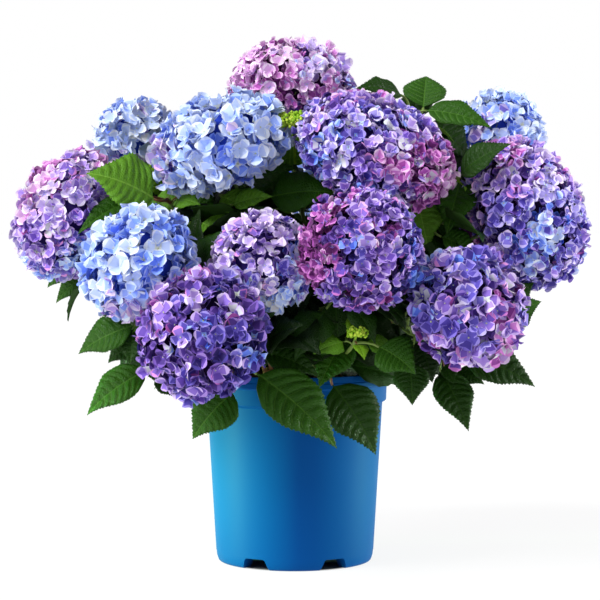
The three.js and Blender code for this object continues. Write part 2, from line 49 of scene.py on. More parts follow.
CAMERA_AT = (0.006, -2.6, 0.440)
CAMERA_DIP = 3.08  # degrees below level
CAMERA_LENS = 135.6  # mm
SENSOR_WIDTH = 36  # mm


def shown(name, data):
    """A new object at the origin, in the scene."""
    thing = bpy.data.objects.new(name, data)
    bpy.context.scene.collection.objects.link(thing)
    return thing


def mesh_of(bm, name):
    """The finished mesh of a bmesh, which is let go."""
    mesh = bpy.data.meshes.new(name)
    bm.to_mesh(mesh)
    bm.free()
    return mesh


def set_inputs(node, values):
    for field, value in values.items():
        node.inputs[field].default_value = value


camera_data = bpy.data.cameras.new("camera")
camera_data.lens = CAMERA_LENS
camera_data.sensor_width = SENSOR_WIDTH
camera = shown("camera", camera_data)
camera.location = CAMERA_AT
camera.rotation_euler = (math.radians(90 - CAMERA_DIP), 0, 0)
bpy.context.scene.camera = camera
bpy.context.scene.view_settings.view_transform = "Standard"

FLOOR_SIZE = 30
FLOOR_GREY = 0.16
GLOW_STARTS = 0.08  # metres from the middle of the pot, still under its foot
GLOW_FULL = 0.088
FLOOR_GLOW = 0.86

floor_shape = bmesh.new()
bmesh.ops.create_grid(floor_shape, x_segments=1, y_segments=1, size=FLOOR_SIZE / 2)
floor = shown("floor", mesh_of(floor_shape, "floor"))
floor_paint = bpy.data.materials.new("floor_paint")
floor_paint.use_nodes = True
floor_nodes, floor_links = floor_paint.node_tree.nodes, floor_paint.node_tree.links
floor_look = floor_nodes["Principled BSDF"]
floor_place = floor_nodes.new("ShaderNodeTexCoord")
floor_reach = floor_nodes.new("ShaderNodeVectorMath")
floor_reach.operation = "LENGTH"
floor_glow = floor_nodes.new("ShaderNodeMapRange")
set_inputs(floor_look, {
    "Base Color": (FLOOR_GREY, FLOOR_GREY, FLOOR_GREY, 1), "Roughness": 0.9,
    "Specular IOR Level": 0, "Emission Color": (1, 1, 1, 1),
})
# the glow rises from nothing under the pot's foot, which leaves a painted shadow there
set_inputs(floor_glow, {
    "From Min": GLOW_STARTS, "From Max": GLOW_FULL, "To Min": 0.0, "To Max": FLOOR_GLOW,
})
floor_links.new(floor_place.outputs["Object"], floor_reach.inputs[0])
floor_links.new(floor_reach.outputs["Value"], floor_glow.inputs["Value"])
floor_links.new(floor_glow.outputs["Result"], floor_look.inputs["Emission Strength"])
floor.data.materials.append(floor_paint)

world = bpy.data.worlds.new("studio")
bpy.context.scene.world = world
world.use_nodes = True
world_nodes, world_links = world.node_tree.nodes, world.node_tree.links
sky_way = world_nodes.new("ShaderNodeTexCoord")
sky_parts = world_nodes.new("ShaderNodeSeparateXYZ")
sky_ramp = world_nodes.new("ShaderNodeValToRGB")
SKY_STOPS = [
    # height of the sky as a part of straight up, brightness
    (0.00, 1.0), (0.09, 1.0), (0.22, 0.36), (1.00, 0.32),
]
sky_ramp.color_ramp.elements[0].position = SKY_STOPS[0][0]
sky_ramp.color_ramp.elements[1].position = SKY_STOPS[-1][0]
for height, _ in SKY_STOPS[1:-1]:
    sky_ramp.color_ramp.elements.new(height)
for stop, (_, bright) in zip(sky_ramp.color_ramp.elements, SKY_STOPS):
    stop.color = (bright, bright, bright, 1)
world_links.new(sky_way.outputs["Generated"], sky_parts.inputs[0])
world_links.new(sky_parts.outputs["Z"], sky_ramp.inputs[0])
world_links.new(sky_ramp.outputs["Color"], world_nodes["Background"].inputs["Color"])


def aimed_light(name, kind, place, aim, power):
    """A light that shines from a place towards its aim."""
    light = shown(name, bpy.data.lights.new(name, kind))
    light.location = place
    light.rotation_euler = (Vector(aim) - Vector(place)).to_track_quat("-Z", "Y").to_euler()
    light.data.energy = power
    return light.data


SUN_FROM = (-1.9, -1.3, 1.9)
SUN_STRENGTH = 3.7
SUN_SPREAD = 34  # degrees, as wide as a big soft box
key_light = aimed_light("key_light", "SUN", SUN_FROM, (0, 0, 0), SUN_STRENGTH)
key_light.angle = math.radians(SUN_SPREAD)

STRIPS = {
    # narrow green-tinted lights that reach little but the pot: place, aim, power
    "left_strip": ((-1.4, -0.1, 0.1), (-0.06, 0, 0.085), 520),
    "right_strip": ((1.3, 0.25, 0.1), (0.07, 0, 0.085), 150),
}
STRIP_CONE = 13  # degrees
STRIP_BLEND = 0.9
STRIP_SIZE = 0.12
STRIP_COLOUR = (0.4, 1.0, 0.34)
for name, (place, aim, power) in STRIPS.items():
    strip = aimed_light(name, "SPOT", place, aim, power)
    strip.color = STRIP_COLOUR
    strip.spot_size = math.radians(STRIP_CONE)
    strip.spot_blend = STRIP_BLEND
    strip.shadow_soft_size = STRIP_SIZE

RIM_AT = (2.2, 0.2, 0.6)
RIM_AIM = (0, 0, 0.35)
RIM_WIDTH = 0.9
RIM_POWER = 38
rim_light = aimed_light("rim_light", "AREA", RIM_AT, RIM_AIM, RIM_POWER)
rim_light.size = RIM_WIDTH


# ---------------------------------------------------------------- nursery pot
# An injection-moulded polypropylene pot: a tapering wall, a straight collar, a rolled lip
# with a parting groove and two grip lugs, and a foot ring with drainage notches.

MM = 0.001  # the sizes below are in mm
POT_HEIGHT = 220
LIP_RADIUS = 114
LIP_HEIGHT = 14
LIP_GROOVE = 0.8
COLLAR_RADIUS = 106
COLLAR_FOOT = 186
SHOULDER_RADIUS = 101
BASE_RADIUS = 91
FOOT_RADIUS = 86
FOOT_WIDTH = 14
PAD_RADIUS = 38
RECESS = 13
WALL = 2.5
POT_STEPS = 128
NOTCHES = 6
NOTCH_WIDTH = 35
NOTCH_TAPER = 5  # how far each side leans in at the top
NOTCH_FROM = 60
NOTCH_LENGTH = 40
NOTCH_TOP = RECESS - 0.5
NOTCH_BELOW = 1  # the cut starts this far below the ground
NOTCH_ROUND = 2.5
LUG_REACH = 121
LUG_WIDTH = 72
LUG_DEPTH = 17
LUG_HEIGHT = 12
LUG_ROUND = 7  # radius of its outer corners
LUG_EASE = 0.9  # radius of its level edges
GRAIN_DETAIL = 3
RELIEF_STRENGTH = 0.6
CELL_RIM = 0.25  # distance from a cell's edge at which it is full height


def srgb(red, green, blue):
    """The linear colour of a paint chart value from 0 to 255."""
    def straight(value):
        value = value / 255
        return value / 12.92 if value <= 0.04045 else ((value + 0.055) / 1.055) ** 2.4
    return (straight(red), straight(green), straight(blue), 1)


def finish(name, tint, rough, grain, depth, gloss, vary=0.1, sheen=0.0, cells=0):
    """A finish of one plain colour, whose roughness and relief vary, in small cells if asked."""
    material = bpy.data.materials.new(name)
    material.use_nodes = True
    nodes, links = material.node_tree.nodes, material.node_tree.links
    surface = nodes["Principled BSDF"]
    place = nodes.new("ShaderNodeTexCoord")
    pattern = nodes.new("ShaderNodeTexNoise")
    spread = nodes.new("ShaderNodeMapRange")
    relief = nodes.new("ShaderNodeBump")
    set_inputs(surface, {"Base Color": srgb(*tint), "Specular IOR Level": gloss, "Sheen Weight": sheen})
    set_inputs(pattern, {"Scale": grain, "Detail": GRAIN_DETAIL})
    set_inputs(spread, {"To Min": rough - vary, "To Max": rough + vary})
    set_inputs(relief, {"Strength": RELIEF_STRENGTH, "Distance": depth})
    links.new(place.outputs["Object"], pattern.inputs["Vector"])
    links.new(pattern.outputs["Fac"], spread.inputs["Value"])
    links.new(spread.outputs["Result"], surface.inputs["Roughness"])
    links.new(pattern.outputs["Fac"], relief.inputs["Height"])
    links.new(relief.outputs["Normal"], surface.inputs["Normal"])
    if cells:
        network = nodes.new("ShaderNodeTexVoronoi")
        network.feature = "DISTANCE_TO_EDGE"
        swell = nodes.new("ShaderNodeMapRange")
        set_inputs(network, {"Scale": cells})
        set_inputs(swell, {"From Max": CELL_RIM})
        links.new(place.outputs["Object"], network.inputs["Vector"])
        links.new(network.outputs["Distance"], swell.inputs["Value"])
        links.new(swell.outputs["Result"], relief.inputs["Height"])
    return material


def add_piece(name, mesh, materials, slot, *nodes):
    """Puts a finished mesh in the scene, riding on the plant and standing for CAD nodes."""
    for material in materials:
        mesh.materials.append(material)
    piece = shown(name, mesh)
    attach(piece, "root")
    if nodes:
        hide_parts(*nodes)
    return piece


def lathe(profile, steps):
    """A round solid from (radius, height) points in mm that start and end on the axis."""
    bm = bmesh.new()
    points = [bm.verts.new((r * MM, 0, z * MM)) for r, z in profile]
    edges = [bm.edges.new(pair) for pair in zip(points, points[1:])]
    bmesh.ops.spin(
        bm, geom=points + edges, cent=(0, 0, 0), axis=(0, 0, 1), angle=2 * math.pi,
        steps=steps, use_merge=True, use_duplicate=False,
    )
    bmesh.ops.remove_doubles(bm, verts=bm.verts, dist=1e-6)
    bmesh.ops.recalc_face_normals(bm, faces=bm.faces)
    return bm


def cut_or_join(piece, tools, operation):
    """Cuts or joins solids into a piece and leaves a plain mesh."""
    for tool in tools:
        step = piece.modifiers.new("cut", "BOOLEAN")
        step.operation = operation
        step.solver = "EXACT"
        step.object = tool
    shaped = bpy.data.meshes.new_from_object(
        piece.evaluated_get(bpy.context.evaluated_depsgraph_get())
    )
    piece.modifiers.clear()
    piece.data = shaped
    for tool in tools:
        bpy.data.objects.remove(tool)


def loose_tool(bm, name):
    return shown(name, mesh_of(bm, name))


def round_edges(bm, edges, radius, segments):
    bmesh.ops.bevel(bm, geom=edges, offset=radius, segments=segments, profile=0.5,
                    affect="EDGES", material=-1)


def edge_span(edge, axis):
    """How far an edge reaches along an axis."""
    return abs(edge.verts[0].co[axis] - edge.verts[1].co[axis])


def metres(*sizes):
    return tuple(size * MM for size in sizes)


lip_foot = POT_HEIGHT - LIP_HEIGHT
groove = lip_foot + LIP_HEIGHT * 0.5
pot_floor = RECESS + WALL
ring_inner = FOOT_RADIUS - FOOT_WIDTH
pot_profile = [
    (0, 0), (PAD_RADIUS, 0), (PAD_RADIUS + 2, RECESS),
    (ring_inner - 2, RECESS), (ring_inner, 0.6), (ring_inner + 1, 0), (FOOT_RADIUS - 1, 0),
    (FOOT_RADIUS + 1.2, 0.4), (FOOT_RADIUS + 2.8, 1.8), (BASE_RADIUS - 1.2, 4.6), (BASE_RADIUS - 0.3, 8),
    (BASE_RADIUS, 13),
    (SHOULDER_RADIUS, COLLAR_FOOT - 3), (SHOULDER_RADIUS + 1, COLLAR_FOOT - 1.6),
    (COLLAR_RADIUS - 1.4, COLLAR_FOOT - 0.6), (COLLAR_RADIUS - 0.5, COLLAR_FOOT + 0.6),
    (COLLAR_RADIUS, lip_foot - 2), (COLLAR_RADIUS + 1, lip_foot - 0.8), (LIP_RADIUS - 1, lip_foot),
    (LIP_RADIUS, lip_foot + 1), (LIP_RADIUS, groove - LIP_GROOVE), (LIP_RADIUS - LIP_GROOVE, groove),
    (LIP_RADIUS, groove + LIP_GROOVE), (LIP_RADIUS, POT_HEIGHT - 1.6), (LIP_RADIUS - 0.5, POT_HEIGHT - 0.4),
    (LIP_RADIUS - 1.3, POT_HEIGHT), (LIP_RADIUS - WALL, POT_HEIGHT - 0.4),
    (LIP_RADIUS - WALL, lip_foot + WALL), (COLLAR_RADIUS - WALL, lip_foot + WALL - 1.5),
    (COLLAR_RADIUS - WALL, COLLAR_FOOT + WALL), (SHOULDER_RADIUS - WALL, COLLAR_FOOT),
    (BASE_RADIUS - WALL, pot_floor), (0, pot_floor),
]
pot_mesh = mesh_of(lathe(pot_profile, POT_STEPS), "nursery_pot")
pot_plastic = finish("blue_polypropylene", (0, 72, 141), rough=0.5, grain=900, depth=0.00006,
                     gloss=0.05, vary=0.07)
pot = add_piece("nursery_pot", pot_mesh, [pot_plastic], "pot_shell", "pot")

lugs = []
for side in (-1, 1):
    lug = bmesh.new()
    bmesh.ops.create_cube(lug, size=1)
    bmesh.ops.scale(lug, vec=metres(LUG_DEPTH, LUG_WIDTH, LUG_HEIGHT), verts=lug.verts)
    corners = [e for e in lug.edges if edge_span(e, 2) > MM and e.verts[0].co.x > 0]
    round_edges(lug, corners, LUG_ROUND * MM, 4)
    level = [e for e in lug.edges if edge_span(e, 2) < 1e-6]
    round_edges(lug, level, LUG_EASE * MM, 2)
    middle = metres(LUG_REACH - LUG_DEPTH / 2, 0, lip_foot + LIP_HEIGHT / 2)
    bmesh.ops.translate(lug, vec=middle, verts=lug.verts)
    turn = Matrix.Rotation(math.pi * (side < 0), 3, "Z")
    bmesh.ops.rotate(lug, cent=(0, 0, 0), matrix=turn, verts=lug.verts)
    lugs.append(loose_tool(lug, f"lug_{side}"))
bore_shape = bmesh.new()
bore_radius = (LIP_RADIUS - WALL * 0.6) * MM
bmesh.ops.create_cone(
    bore_shape, cap_ends=True, segments=POT_STEPS, radius1=bore_radius, radius2=bore_radius,
    depth=0.05, matrix=Matrix.Translation((0, 0, POT_HEIGHT * MM)),
)
bore = loose_tool(bore_shape, "bore")
for lug in lugs:
    cut_or_join(lug, [shown("bore_copy", bore.data)], "DIFFERENCE")
bpy.data.objects.remove(bore)
cut_or_join(pot, lugs, "UNION")

notches = []
for k in range(NOTCHES):
    notch = bmesh.new()
    bmesh.ops.create_cube(notch, size=1)
    size = metres(NOTCH_WIDTH, NOTCH_LENGTH, NOTCH_TOP + NOTCH_BELOW)
    bmesh.ops.scale(notch, vec=size, verts=notch.verts)
    middle = metres(0, -(NOTCH_FROM + NOTCH_LENGTH / 2), (NOTCH_TOP - NOTCH_BELOW) / 2)
    bmesh.ops.translate(notch, vec=middle, verts=notch.verts)
    for corner in notch.verts:
        if corner.co.z > 0:
            corner.co.x *= 1 - 2 * NOTCH_TAPER / NOTCH_WIDTH
    tops = [e for e in notch.edges if edge_span(e, 1) > size[1] / 2 and e.verts[0].co.z > 0]
    round_edges(notch, tops, NOTCH_ROUND * MM, 3)
    turn = Matrix.Rotation((k + 0.5) * 2 * math.pi / NOTCHES, 3, "Z")
    bmesh.ops.rotate(notch, cent=(0, 0, 0), matrix=turn, verts=notch.verts)
    notches.append(loose_tool(notch, f"notch_{k}"))
cut_or_join(pot, notches, "DIFFERENCE")
pot.data.shade_smooth()
pot.data.set_sharp_from_angle(angle=math.radians(32))


# ---------------------------------------------------------------- potting soil
# A moist mix of peat and composted bark that fills the pot to its collar, lumpy on top,
# with loose flakes of bark lying on it.

SOIL_TOP = 190
SOIL_GAP = 0.6  # mm, between the fill and the wall
CLEARANCE = 0.3  # mm, between two solids that meet
SOIL_STEPS = 90
SOIL_RINGS = 26
SOIL_LUMP = 2.2  # mm, the most that a lump or dip departs from the mean
LUMP_GRAIN = 110
BARK_FLAKES = 420
FLAKE_LEAST = (3, 2, 0.8)  # mm, length, width and thickness of the smallest flake
FLAKE_GROWTH = (8, 4, 1.4)  # mm that the largest has more
FLAKE_TILT = 0.35
TAN_FLAKES = 0.4  # share of the flakes that are of lighter bark


def dice(seed):
    """Repeatable numbers from 0 to 1."""
    state = seed
    while True:
        state = (state * 1664525 + 1013904223) % 4294967296
        yield state / 4294967296


def mesh_arrays(bm):
    """Points, triangles and finish numbers of a small shape that is copied many times."""
    bmesh.ops.triangulate(bm, faces=bm.faces)
    bm.verts.index_update()
    points = np.array([v.co for v in bm.verts])
    triangles = np.array([[v.index for v in f.verts] for f in bm.faces])
    finishes = np.array([f.material_index for f in bm.faces])
    bm.free()
    return points, triangles, finishes


def joined_mesh(name, parts):
    """One mesh in metres from many (points in mm, triangles, finishes)."""
    starts = np.cumsum([0] + [len(p[0]) for p in parts])
    points = np.concatenate([p[0] for p in parts]) * MM
    triangles = np.concatenate([p[1] + start for p, start in zip(parts, starts)])
    finishes = np.concatenate([p[2] for p in parts])
    mesh = bpy.data.meshes.new(name)
    mesh.vertices.add(len(points))
    mesh.vertices.foreach_set("co", points.ravel())
    mesh.loops.add(triangles.size)
    mesh.loops.foreach_set("vertex_index", triangles.ravel())
    mesh.polygons.add(len(triangles))
    mesh.polygons.foreach_set("loop_start", np.arange(0, triangles.size, 3))
    mesh.polygons.foreach_set("material_index", finishes)
    mesh.update(calc_edges=True)
    mesh.shade_smooth()
    return mesh


def add_joined(name, parts, materials, slot, *nodes):
    add_piece(name, joined_mesh(name, parts), materials, slot, *nodes)


soil_taper = (SHOULDER_RADIUS - BASE_RADIUS) / (COLLAR_FOOT - pot_floor)
soil_edge = SHOULDER_RADIUS - WALL - SOIL_GAP + soil_taper * (SOIL_TOP - COLLAR_FOOT)
soil_foot = pot_floor + CLEARANCE
soil_profile = [(0, soil_foot), (BASE_RADIUS - WALL - SOIL_GAP, soil_foot), (soil_edge, SOIL_TOP - 2)]
soil_profile += [(soil_edge * (1 - k / SOIL_RINGS), SOIL_TOP - 1) for k in range(SOIL_RINGS + 1)]
soil_shape = lathe(soil_profile, SOIL_STEPS)
for point in soil_shape.verts:
    if point.co.z > (SOIL_TOP - 1.5) * MM:
        point.co.z += (noise.noise(point.co * LUMP_GRAIN) - 0.6) * SOIL_LUMP * MM
soil_mesh = mesh_of(soil_shape, "potting_mix")
soil_mesh.shade_smooth()
peat = finish("moist_peat", (52, 38, 29), rough=0.9, grain=420, depth=0.0012, gloss=0.2, vary=0.08)
add_piece("potting_mix", soil_mesh, [peat], "potting_mix", "potting_soil")

flake_shape = bmesh.new()
bmesh.ops.create_cube(flake_shape, size=1)
round_edges(flake_shape, flake_shape.edges[:], 0.16, 1)
flake = mesh_arrays(flake_shape)
draw = dice(11)
flakes = []
for _ in range(BARK_FLAKES):
    out = (soil_edge - 7) * math.sqrt(next(draw))
    way = next(draw) * 2 * math.pi
    size = Matrix.Diagonal([low + more * next(draw) for low, more in zip(FLAKE_LEAST, FLAKE_GROWTH)])
    turn = Matrix.Rotation(next(draw) * 6, 3, "Z")
    turn = turn @ Matrix.Rotation(next(draw) * 2 * FLAKE_TILT - FLAKE_TILT, 3, "X")
    spread = flake[0] @ np.array(turn @ size).T
    middle = np.array((out * math.cos(way), out * math.sin(way), SOIL_TOP - 0.6))
    flakes.append((spread + middle, flake[1], flake[2] + (next(draw) < TAN_FLAKES)))
barks = [
    finish(name, tint, rough=0.85, grain=600, depth=0.0006, gloss=0.2)
    for name, tint in (("bark_dark", (74, 50, 35)), ("bark_tan", (116, 82, 54)))
]
add_joined("bark_flakes", flakes, barks, "potting_mix")


# ---------------------------------------------------------------- woody canes
# Last year's canes rise from the soil on a ring, flared at the foot and swollen at the tip
# where the green shoots start. Their tan bark is ridged lengthwise and ringed by leaf scars.

CANE_RING = 52
CANE_FOOT_RADIUS = 8
CANE_RADIUS = 5.2
KNUCKLE_RADIUS = 6.6
CANE_REACH = 0.45
CANE_TAPER = 0.15
CANE_END = 0.2  # part of a cane that its foot flare, and its knuckle, take up
BARK_RIDGES = 7
RIDGE_HEIGHT = 0.22
LUMP_HEIGHT = 0.5
SCARS = 4
SCAR_HEIGHT = 0.55
SCAR_SHARPNESS = 16
BARK_SINK = 0.35  # the relief lies this far below the cane's own radius
LIMB_HANDLE = 0.36
STALK = 12
HEAD_LEAN = 72  # degrees that a head leans out at the crown's radius
CROWN_RADIUS = 300
UP = np.array((0.0, 0.0, 1.0))

# Each cane: the direction of its foot in degrees round from +X, and the shoots that it carries.
CANES = [
    (176, ["01", "02"]), (222, ["03", "08", "23"]), (255, ["09", "11"]), (295, ["05", "10"]),
    (333, ["07", "24", "12"]), (24, ["06", "15", "25"]), (72, ["04", "14", "17"]), (132, ["13", "16"]),
]

# Each head of flowers: centre, radius across its axis and half its thickness, in mm.
HEADS = {
    "01": ((-254, -46, 400), 75, 57), "02": ((-194, 85, 488), 50, 41), "03": ((-84, -66, 479), 79, 52),
    "04": ((-4, 62, 547), 72, 54), "05": ((91, -66, 471), 92, 56), "06": ((245, 100, 492), 53, 50),
    "07": ((262, -12, 401), 88, 66), "08": ((-168, -170, 349), 65, 54), "09": ((-33, -166, 349), 55, 53),
    "10": ((70, -222, 366), 64, 63), "11": ((-96, -240, 278), 70, 52), "12": ((185, -190, 303), 65, 56),
    "13": ((-205, 150, 362), 66, 50), "14": ((62, 205, 432), 76, 54), "15": ((226, 160, 362), 68, 52),
    "16": ((-88, 238, 300), 70, 52), "17": ((98, 248, 282), 68, 52),
}

# Shoots with no head: foot on the soil if they have one, tip, and the way that it points.
LEAFY_SHOOTS = {
    "18": ((-66, -22), (-192, -128, 282), (-0.7, -0.45, 0.55)),
    "19": ((70, -12), (192, -84, 262), (0.75, -0.35, 0.5)),
    "20": ((18, -68), (66, -158, 266), (0.25, -0.6, 0.75)),
    "21": ((-64, 34), (-150, 170, 250), (-0.55, 0.6, 0.5)),
    "22": ((56, 56), (168, 176, 246), (0.55, 0.6, 0.5)),
    "23": (None, (-142, -62, 420), (-0.3, -0.25, 0.9)),
    "24": (None, (180, -42, 440), (0.3, -0.25, 0.9)),
    "25": (None, (138, 24, 512), (0.2, -0.2, 0.95)),
}


def unit(vector):
    return vector / np.linalg.norm(vector)


def turned(vector, axis, angle):
    """A vector turned about an axis of length one."""
    return (vector * math.cos(angle) + np.cross(axis, vector) * math.sin(angle)
            + axis * (axis @ vector) * (1 - math.cos(angle)))


def head_axis(name):
    """A head leans out more the further it stands from the middle of the plant."""
    x, y, _ = HEADS[name][0]
    out = math.hypot(x, y)
    lean = math.radians(HEAD_LEAN * min(1, out / CROWN_RADIUS))
    return np.array((x / out * math.sin(lean), y / out * math.sin(lean), math.cos(lean)))


def shoot_end(name):
    """Tip of a shoot and the way that it points there."""
    if name in HEADS:
        centre, _, half = HEADS[name]
        way = head_axis(name)
        return np.array(centre) - way * (half + STALK + CLEARANCE), way
    _, tip, way = LEAFY_SHOOTS[name]
    return np.array(tip, float), unit(np.array(way))


def limb_curve(foot, foot_way, tip, tip_way):
    handle = LIMB_HANDLE * np.linalg.norm(tip - foot)
    return np.array((foot, foot + foot_way * handle, tip - tip_way * handle, tip))


def curve_point(curve, part):
    rest = 1 - part
    weights = (rest ** 3, 3 * rest ** 2 * part, 3 * rest * part ** 2, part ** 3)
    return sum(w * p for w, p in zip(weights, curve))


def curve_way(curve, part):
    rest = 1 - part
    steps = curve[1:] - curve[:-1]
    return unit(rest ** 2 * steps[0] + 2 * rest * part * steps[1] + part ** 2 * steps[2])


def cane_curve(cane):
    way, shoots = cane
    way = math.radians(way)
    foot = np.array((CANE_RING * math.cos(way), CANE_RING * math.sin(way), SOIL_TOP + CLEARANCE))
    middle = sum(shoot_end(name)[0] for name in shoots) / len(shoots)
    tip = foot + (middle - foot) * CANE_REACH
    return limb_curve(foot, UP, tip, unit(unit(middle - foot) + UP))


def straight_limb(sides, steps):
    """A closed tube one unit long and of radius one, in rings that a curve can bend."""
    bm = bmesh.new()
    bmesh.ops.create_cone(bm, cap_ends=True, segments=sides, radius1=1, radius2=1, depth=1,
                          matrix=Matrix.Translation((0, 0, 0.5)))
    for k in range(1, steps):
        bmesh.ops.bisect_plane(bm, geom=bm.verts[:] + bm.edges[:] + bm.faces[:],
                               plane_co=(0, 0, k / steps), plane_no=(0, 0, 1))
    return mesh_arrays(bm)


def bent_limb(limb, curve, radius, finish_number=0):
    """The straight limb bent along a curve; radius takes the part along it and the way round."""
    points, triangles, finishes = limb
    chord = curve[3] - curve[0]
    across = np.cross(UP, chord)
    across = unit(across) if np.linalg.norm(across) > 1 else np.array((1.0, 0.0, 0.0))
    bent = np.empty_like(points)
    for k, (x, y, part) in enumerate(points):
        way = curve_way(curve, part)
        ahead = unit(np.cross(across, way))
        beside = np.cross(way, ahead)
        size = radius(part, math.atan2(y, x))
        bent[k] = curve_point(curve, part) + (ahead * x + beside * y) * size
    return bent, triangles, finishes + finish_number


def cane_radius(part, way, seed):
    """Radius of a cane with its flare, knuckle, ridges, lumps and leaf scars."""
    flare = (CANE_FOOT_RADIUS - CANE_RADIUS) * max(0, 1 - part / CANE_END)
    thin = CANE_RADIUS * (1 - CANE_TAPER)
    knuckle = (KNUCKLE_RADIUS - thin) * max(0, 1 - (1 - part) / CANE_END)
    wander = 2 * noise.noise(Vector((part * 6, seed, 0)))
    ridges = RIDGE_HEIGHT * math.sin(BARK_RIDGES * way + wander)
    lumps = LUMP_HEIGHT * noise.noise(Vector((math.cos(way), math.sin(way), part * 14 + seed)))
    scar = max(0, 1 - abs((part * SCARS) % 1 - 0.5) * SCAR_SHARPNESS) if 0.15 < part < 0.95 else 0
    relief = ridges + lumps + SCAR_HEIGHT * scar - BARK_SINK
    return CANE_RADIUS * (1 - CANE_TAPER * part) + flare + knuckle + relief


cane_bark = finish("cane_bark", (148, 112, 76), rough=0.8, grain=260, depth=0.0009, gloss=0.25, vary=0.12)
cane_limb = straight_limb(18, 44)
for number, cane in enumerate(CANES, 1):
    bark = bent_limb(cane_limb, cane_curve(cane), lambda part, way: cane_radius(part, way, number * 7.3))
    add_joined(f"cane_bark_{number}", [bark], [cane_bark], "cane_bark", f"cane_{number}")


# ---------------------------------------------------------------- green shoots
# This year's shoots start side by side on the knuckles of the canes, or rise from the soil.
# They are brown and woody at the foot, green above, and swell at each pair of leaves.

SHOOT_SPREAD = 3.7  # mm from the middle of a knuckle to each shoot on it
SHOOT_RADIUS = 2.3
SHOOT_TIP_RADIUS = 1.8
SWELLING = 0.6  # mm that a shoot is thicker at a pair of leaves
SWELLING_SHARPNESS = 28
PAIRS = [(0.34, 74), (0.6, 92), (0.86, 96)]  # place along a shoot, length of a blade
WOODY_PART = 0.3  # part of a shoot that is brown
SHOOT_GREEN, SHOOT_BROWN, PETIOLE_RED = range(3)


def shoot_curves():
    curves = {}
    for cane in CANES:
        curve = cane_curve(cane)
        knuckle, lean = curve_point(curve, 1), curve_way(curve, 1)
        side = shoot_end(cane[1][0])[0] - knuckle
        side = unit(side - lean * (side @ lean))
        for index, name in enumerate(cane[1]):
            place = turned(side, lean, 2 * math.pi * index / len(cane[1]))
            start = knuckle + lean * CLEARANCE + place * SHOOT_SPREAD
            curves[name] = limb_curve(start, lean, *shoot_end(name))
    for name, (foot, _, _) in LEAFY_SHOOTS.items():
        if foot:
            start = np.array((*foot, SOIL_TOP + CLEARANCE))
            curves[name] = limb_curve(start, UP, *shoot_end(name))
    return dict(sorted(curves.items()))


def shoot_radius(part, _):
    swelling = max(0, 1 - min(abs(part - place) for place, _ in PAIRS) * SWELLING_SHARPNESS)
    return SHOOT_RADIUS + (SHOOT_TIP_RADIUS - SHOOT_RADIUS) * part + SWELLING * swelling


shoot_finishes = [
    finish("shoot_green", (112, 138, 62), rough=0.55, grain=500, depth=0.0003, gloss=0.4),
    finish("shoot_brown", (118, 84, 54), rough=0.7, grain=500, depth=0.0005, gloss=0.3),
    finish("petiole_red", (112, 70, 44), rough=0.5, grain=500, depth=0.0002, gloss=0.4),
]
shoot_limb = straight_limb(9, 28)
face_places = shoot_limb[0][shoot_limb[1]][:, :, 2].mean(1)
shoot_looks = np.where(face_places < WOODY_PART, SHOOT_BROWN, SHOOT_GREEN)
curves = shoot_curves()
stems = {name: [bent_limb(shoot_limb, curve, shoot_radius, shoot_looks)] for name, curve in curves.items()}


# ---------------------------------------------------------------- leaves
# Broad, pointed leaves with saw-toothed edges stand in opposite pairs on short stalks.
# The blade is quilted between its curved side veins, and the veins are paler than the blade.

BLADE_LENGTH = 100  # mm, the pattern that every leaf is stretched from
BLADE_WIDTH = 62
BLADE_THICKNESS = 0.7
MIDRIB = 1.1  # mm from the middle to the edge of the midrib
VEIN_SWEEP = 0.27  # part of the blade that a side vein runs forward to the edge
VEIN_STEP = 0.7  # how near to a vein the row behind it is pulled
QUILT = 1.7  # mm that the blade swells between two veins
TOOTH = 1.5
LEAF_ARCH = 0.07
LEAF_FOLD = 0.28
RIPPLES = 17
RIPPLE_HEIGHT = 0.03
PETIOLE = 26
PETIOLE_RADII = (1.0, 1.6)  # of a leaf narrower, and wider, than NARROW_LEAF
NARROW_LEAF = 30
RED_PETIOLES = 0.3  # share of the petioles that are red
LEAF_SLENDER = 0.62
ASKEW = (0.31, 0.17, 0.94)  # a direction that no shoot runs in
FRONT_LIGHT = np.array((0.0, -0.76, 0.65))  # where a leaf set one by one faces
SHOOT_STEPS = 6  # straight steps of a shoot in the CAD model
SHOOT_PLACES = 40  # places along a shoot where a leaf set one by one may start
TIP_MATCH = 0.5  # mm
HIGH_LEAF = 400  # mm; above this height more leaves take the paler shades
UNDER_PALER = 22
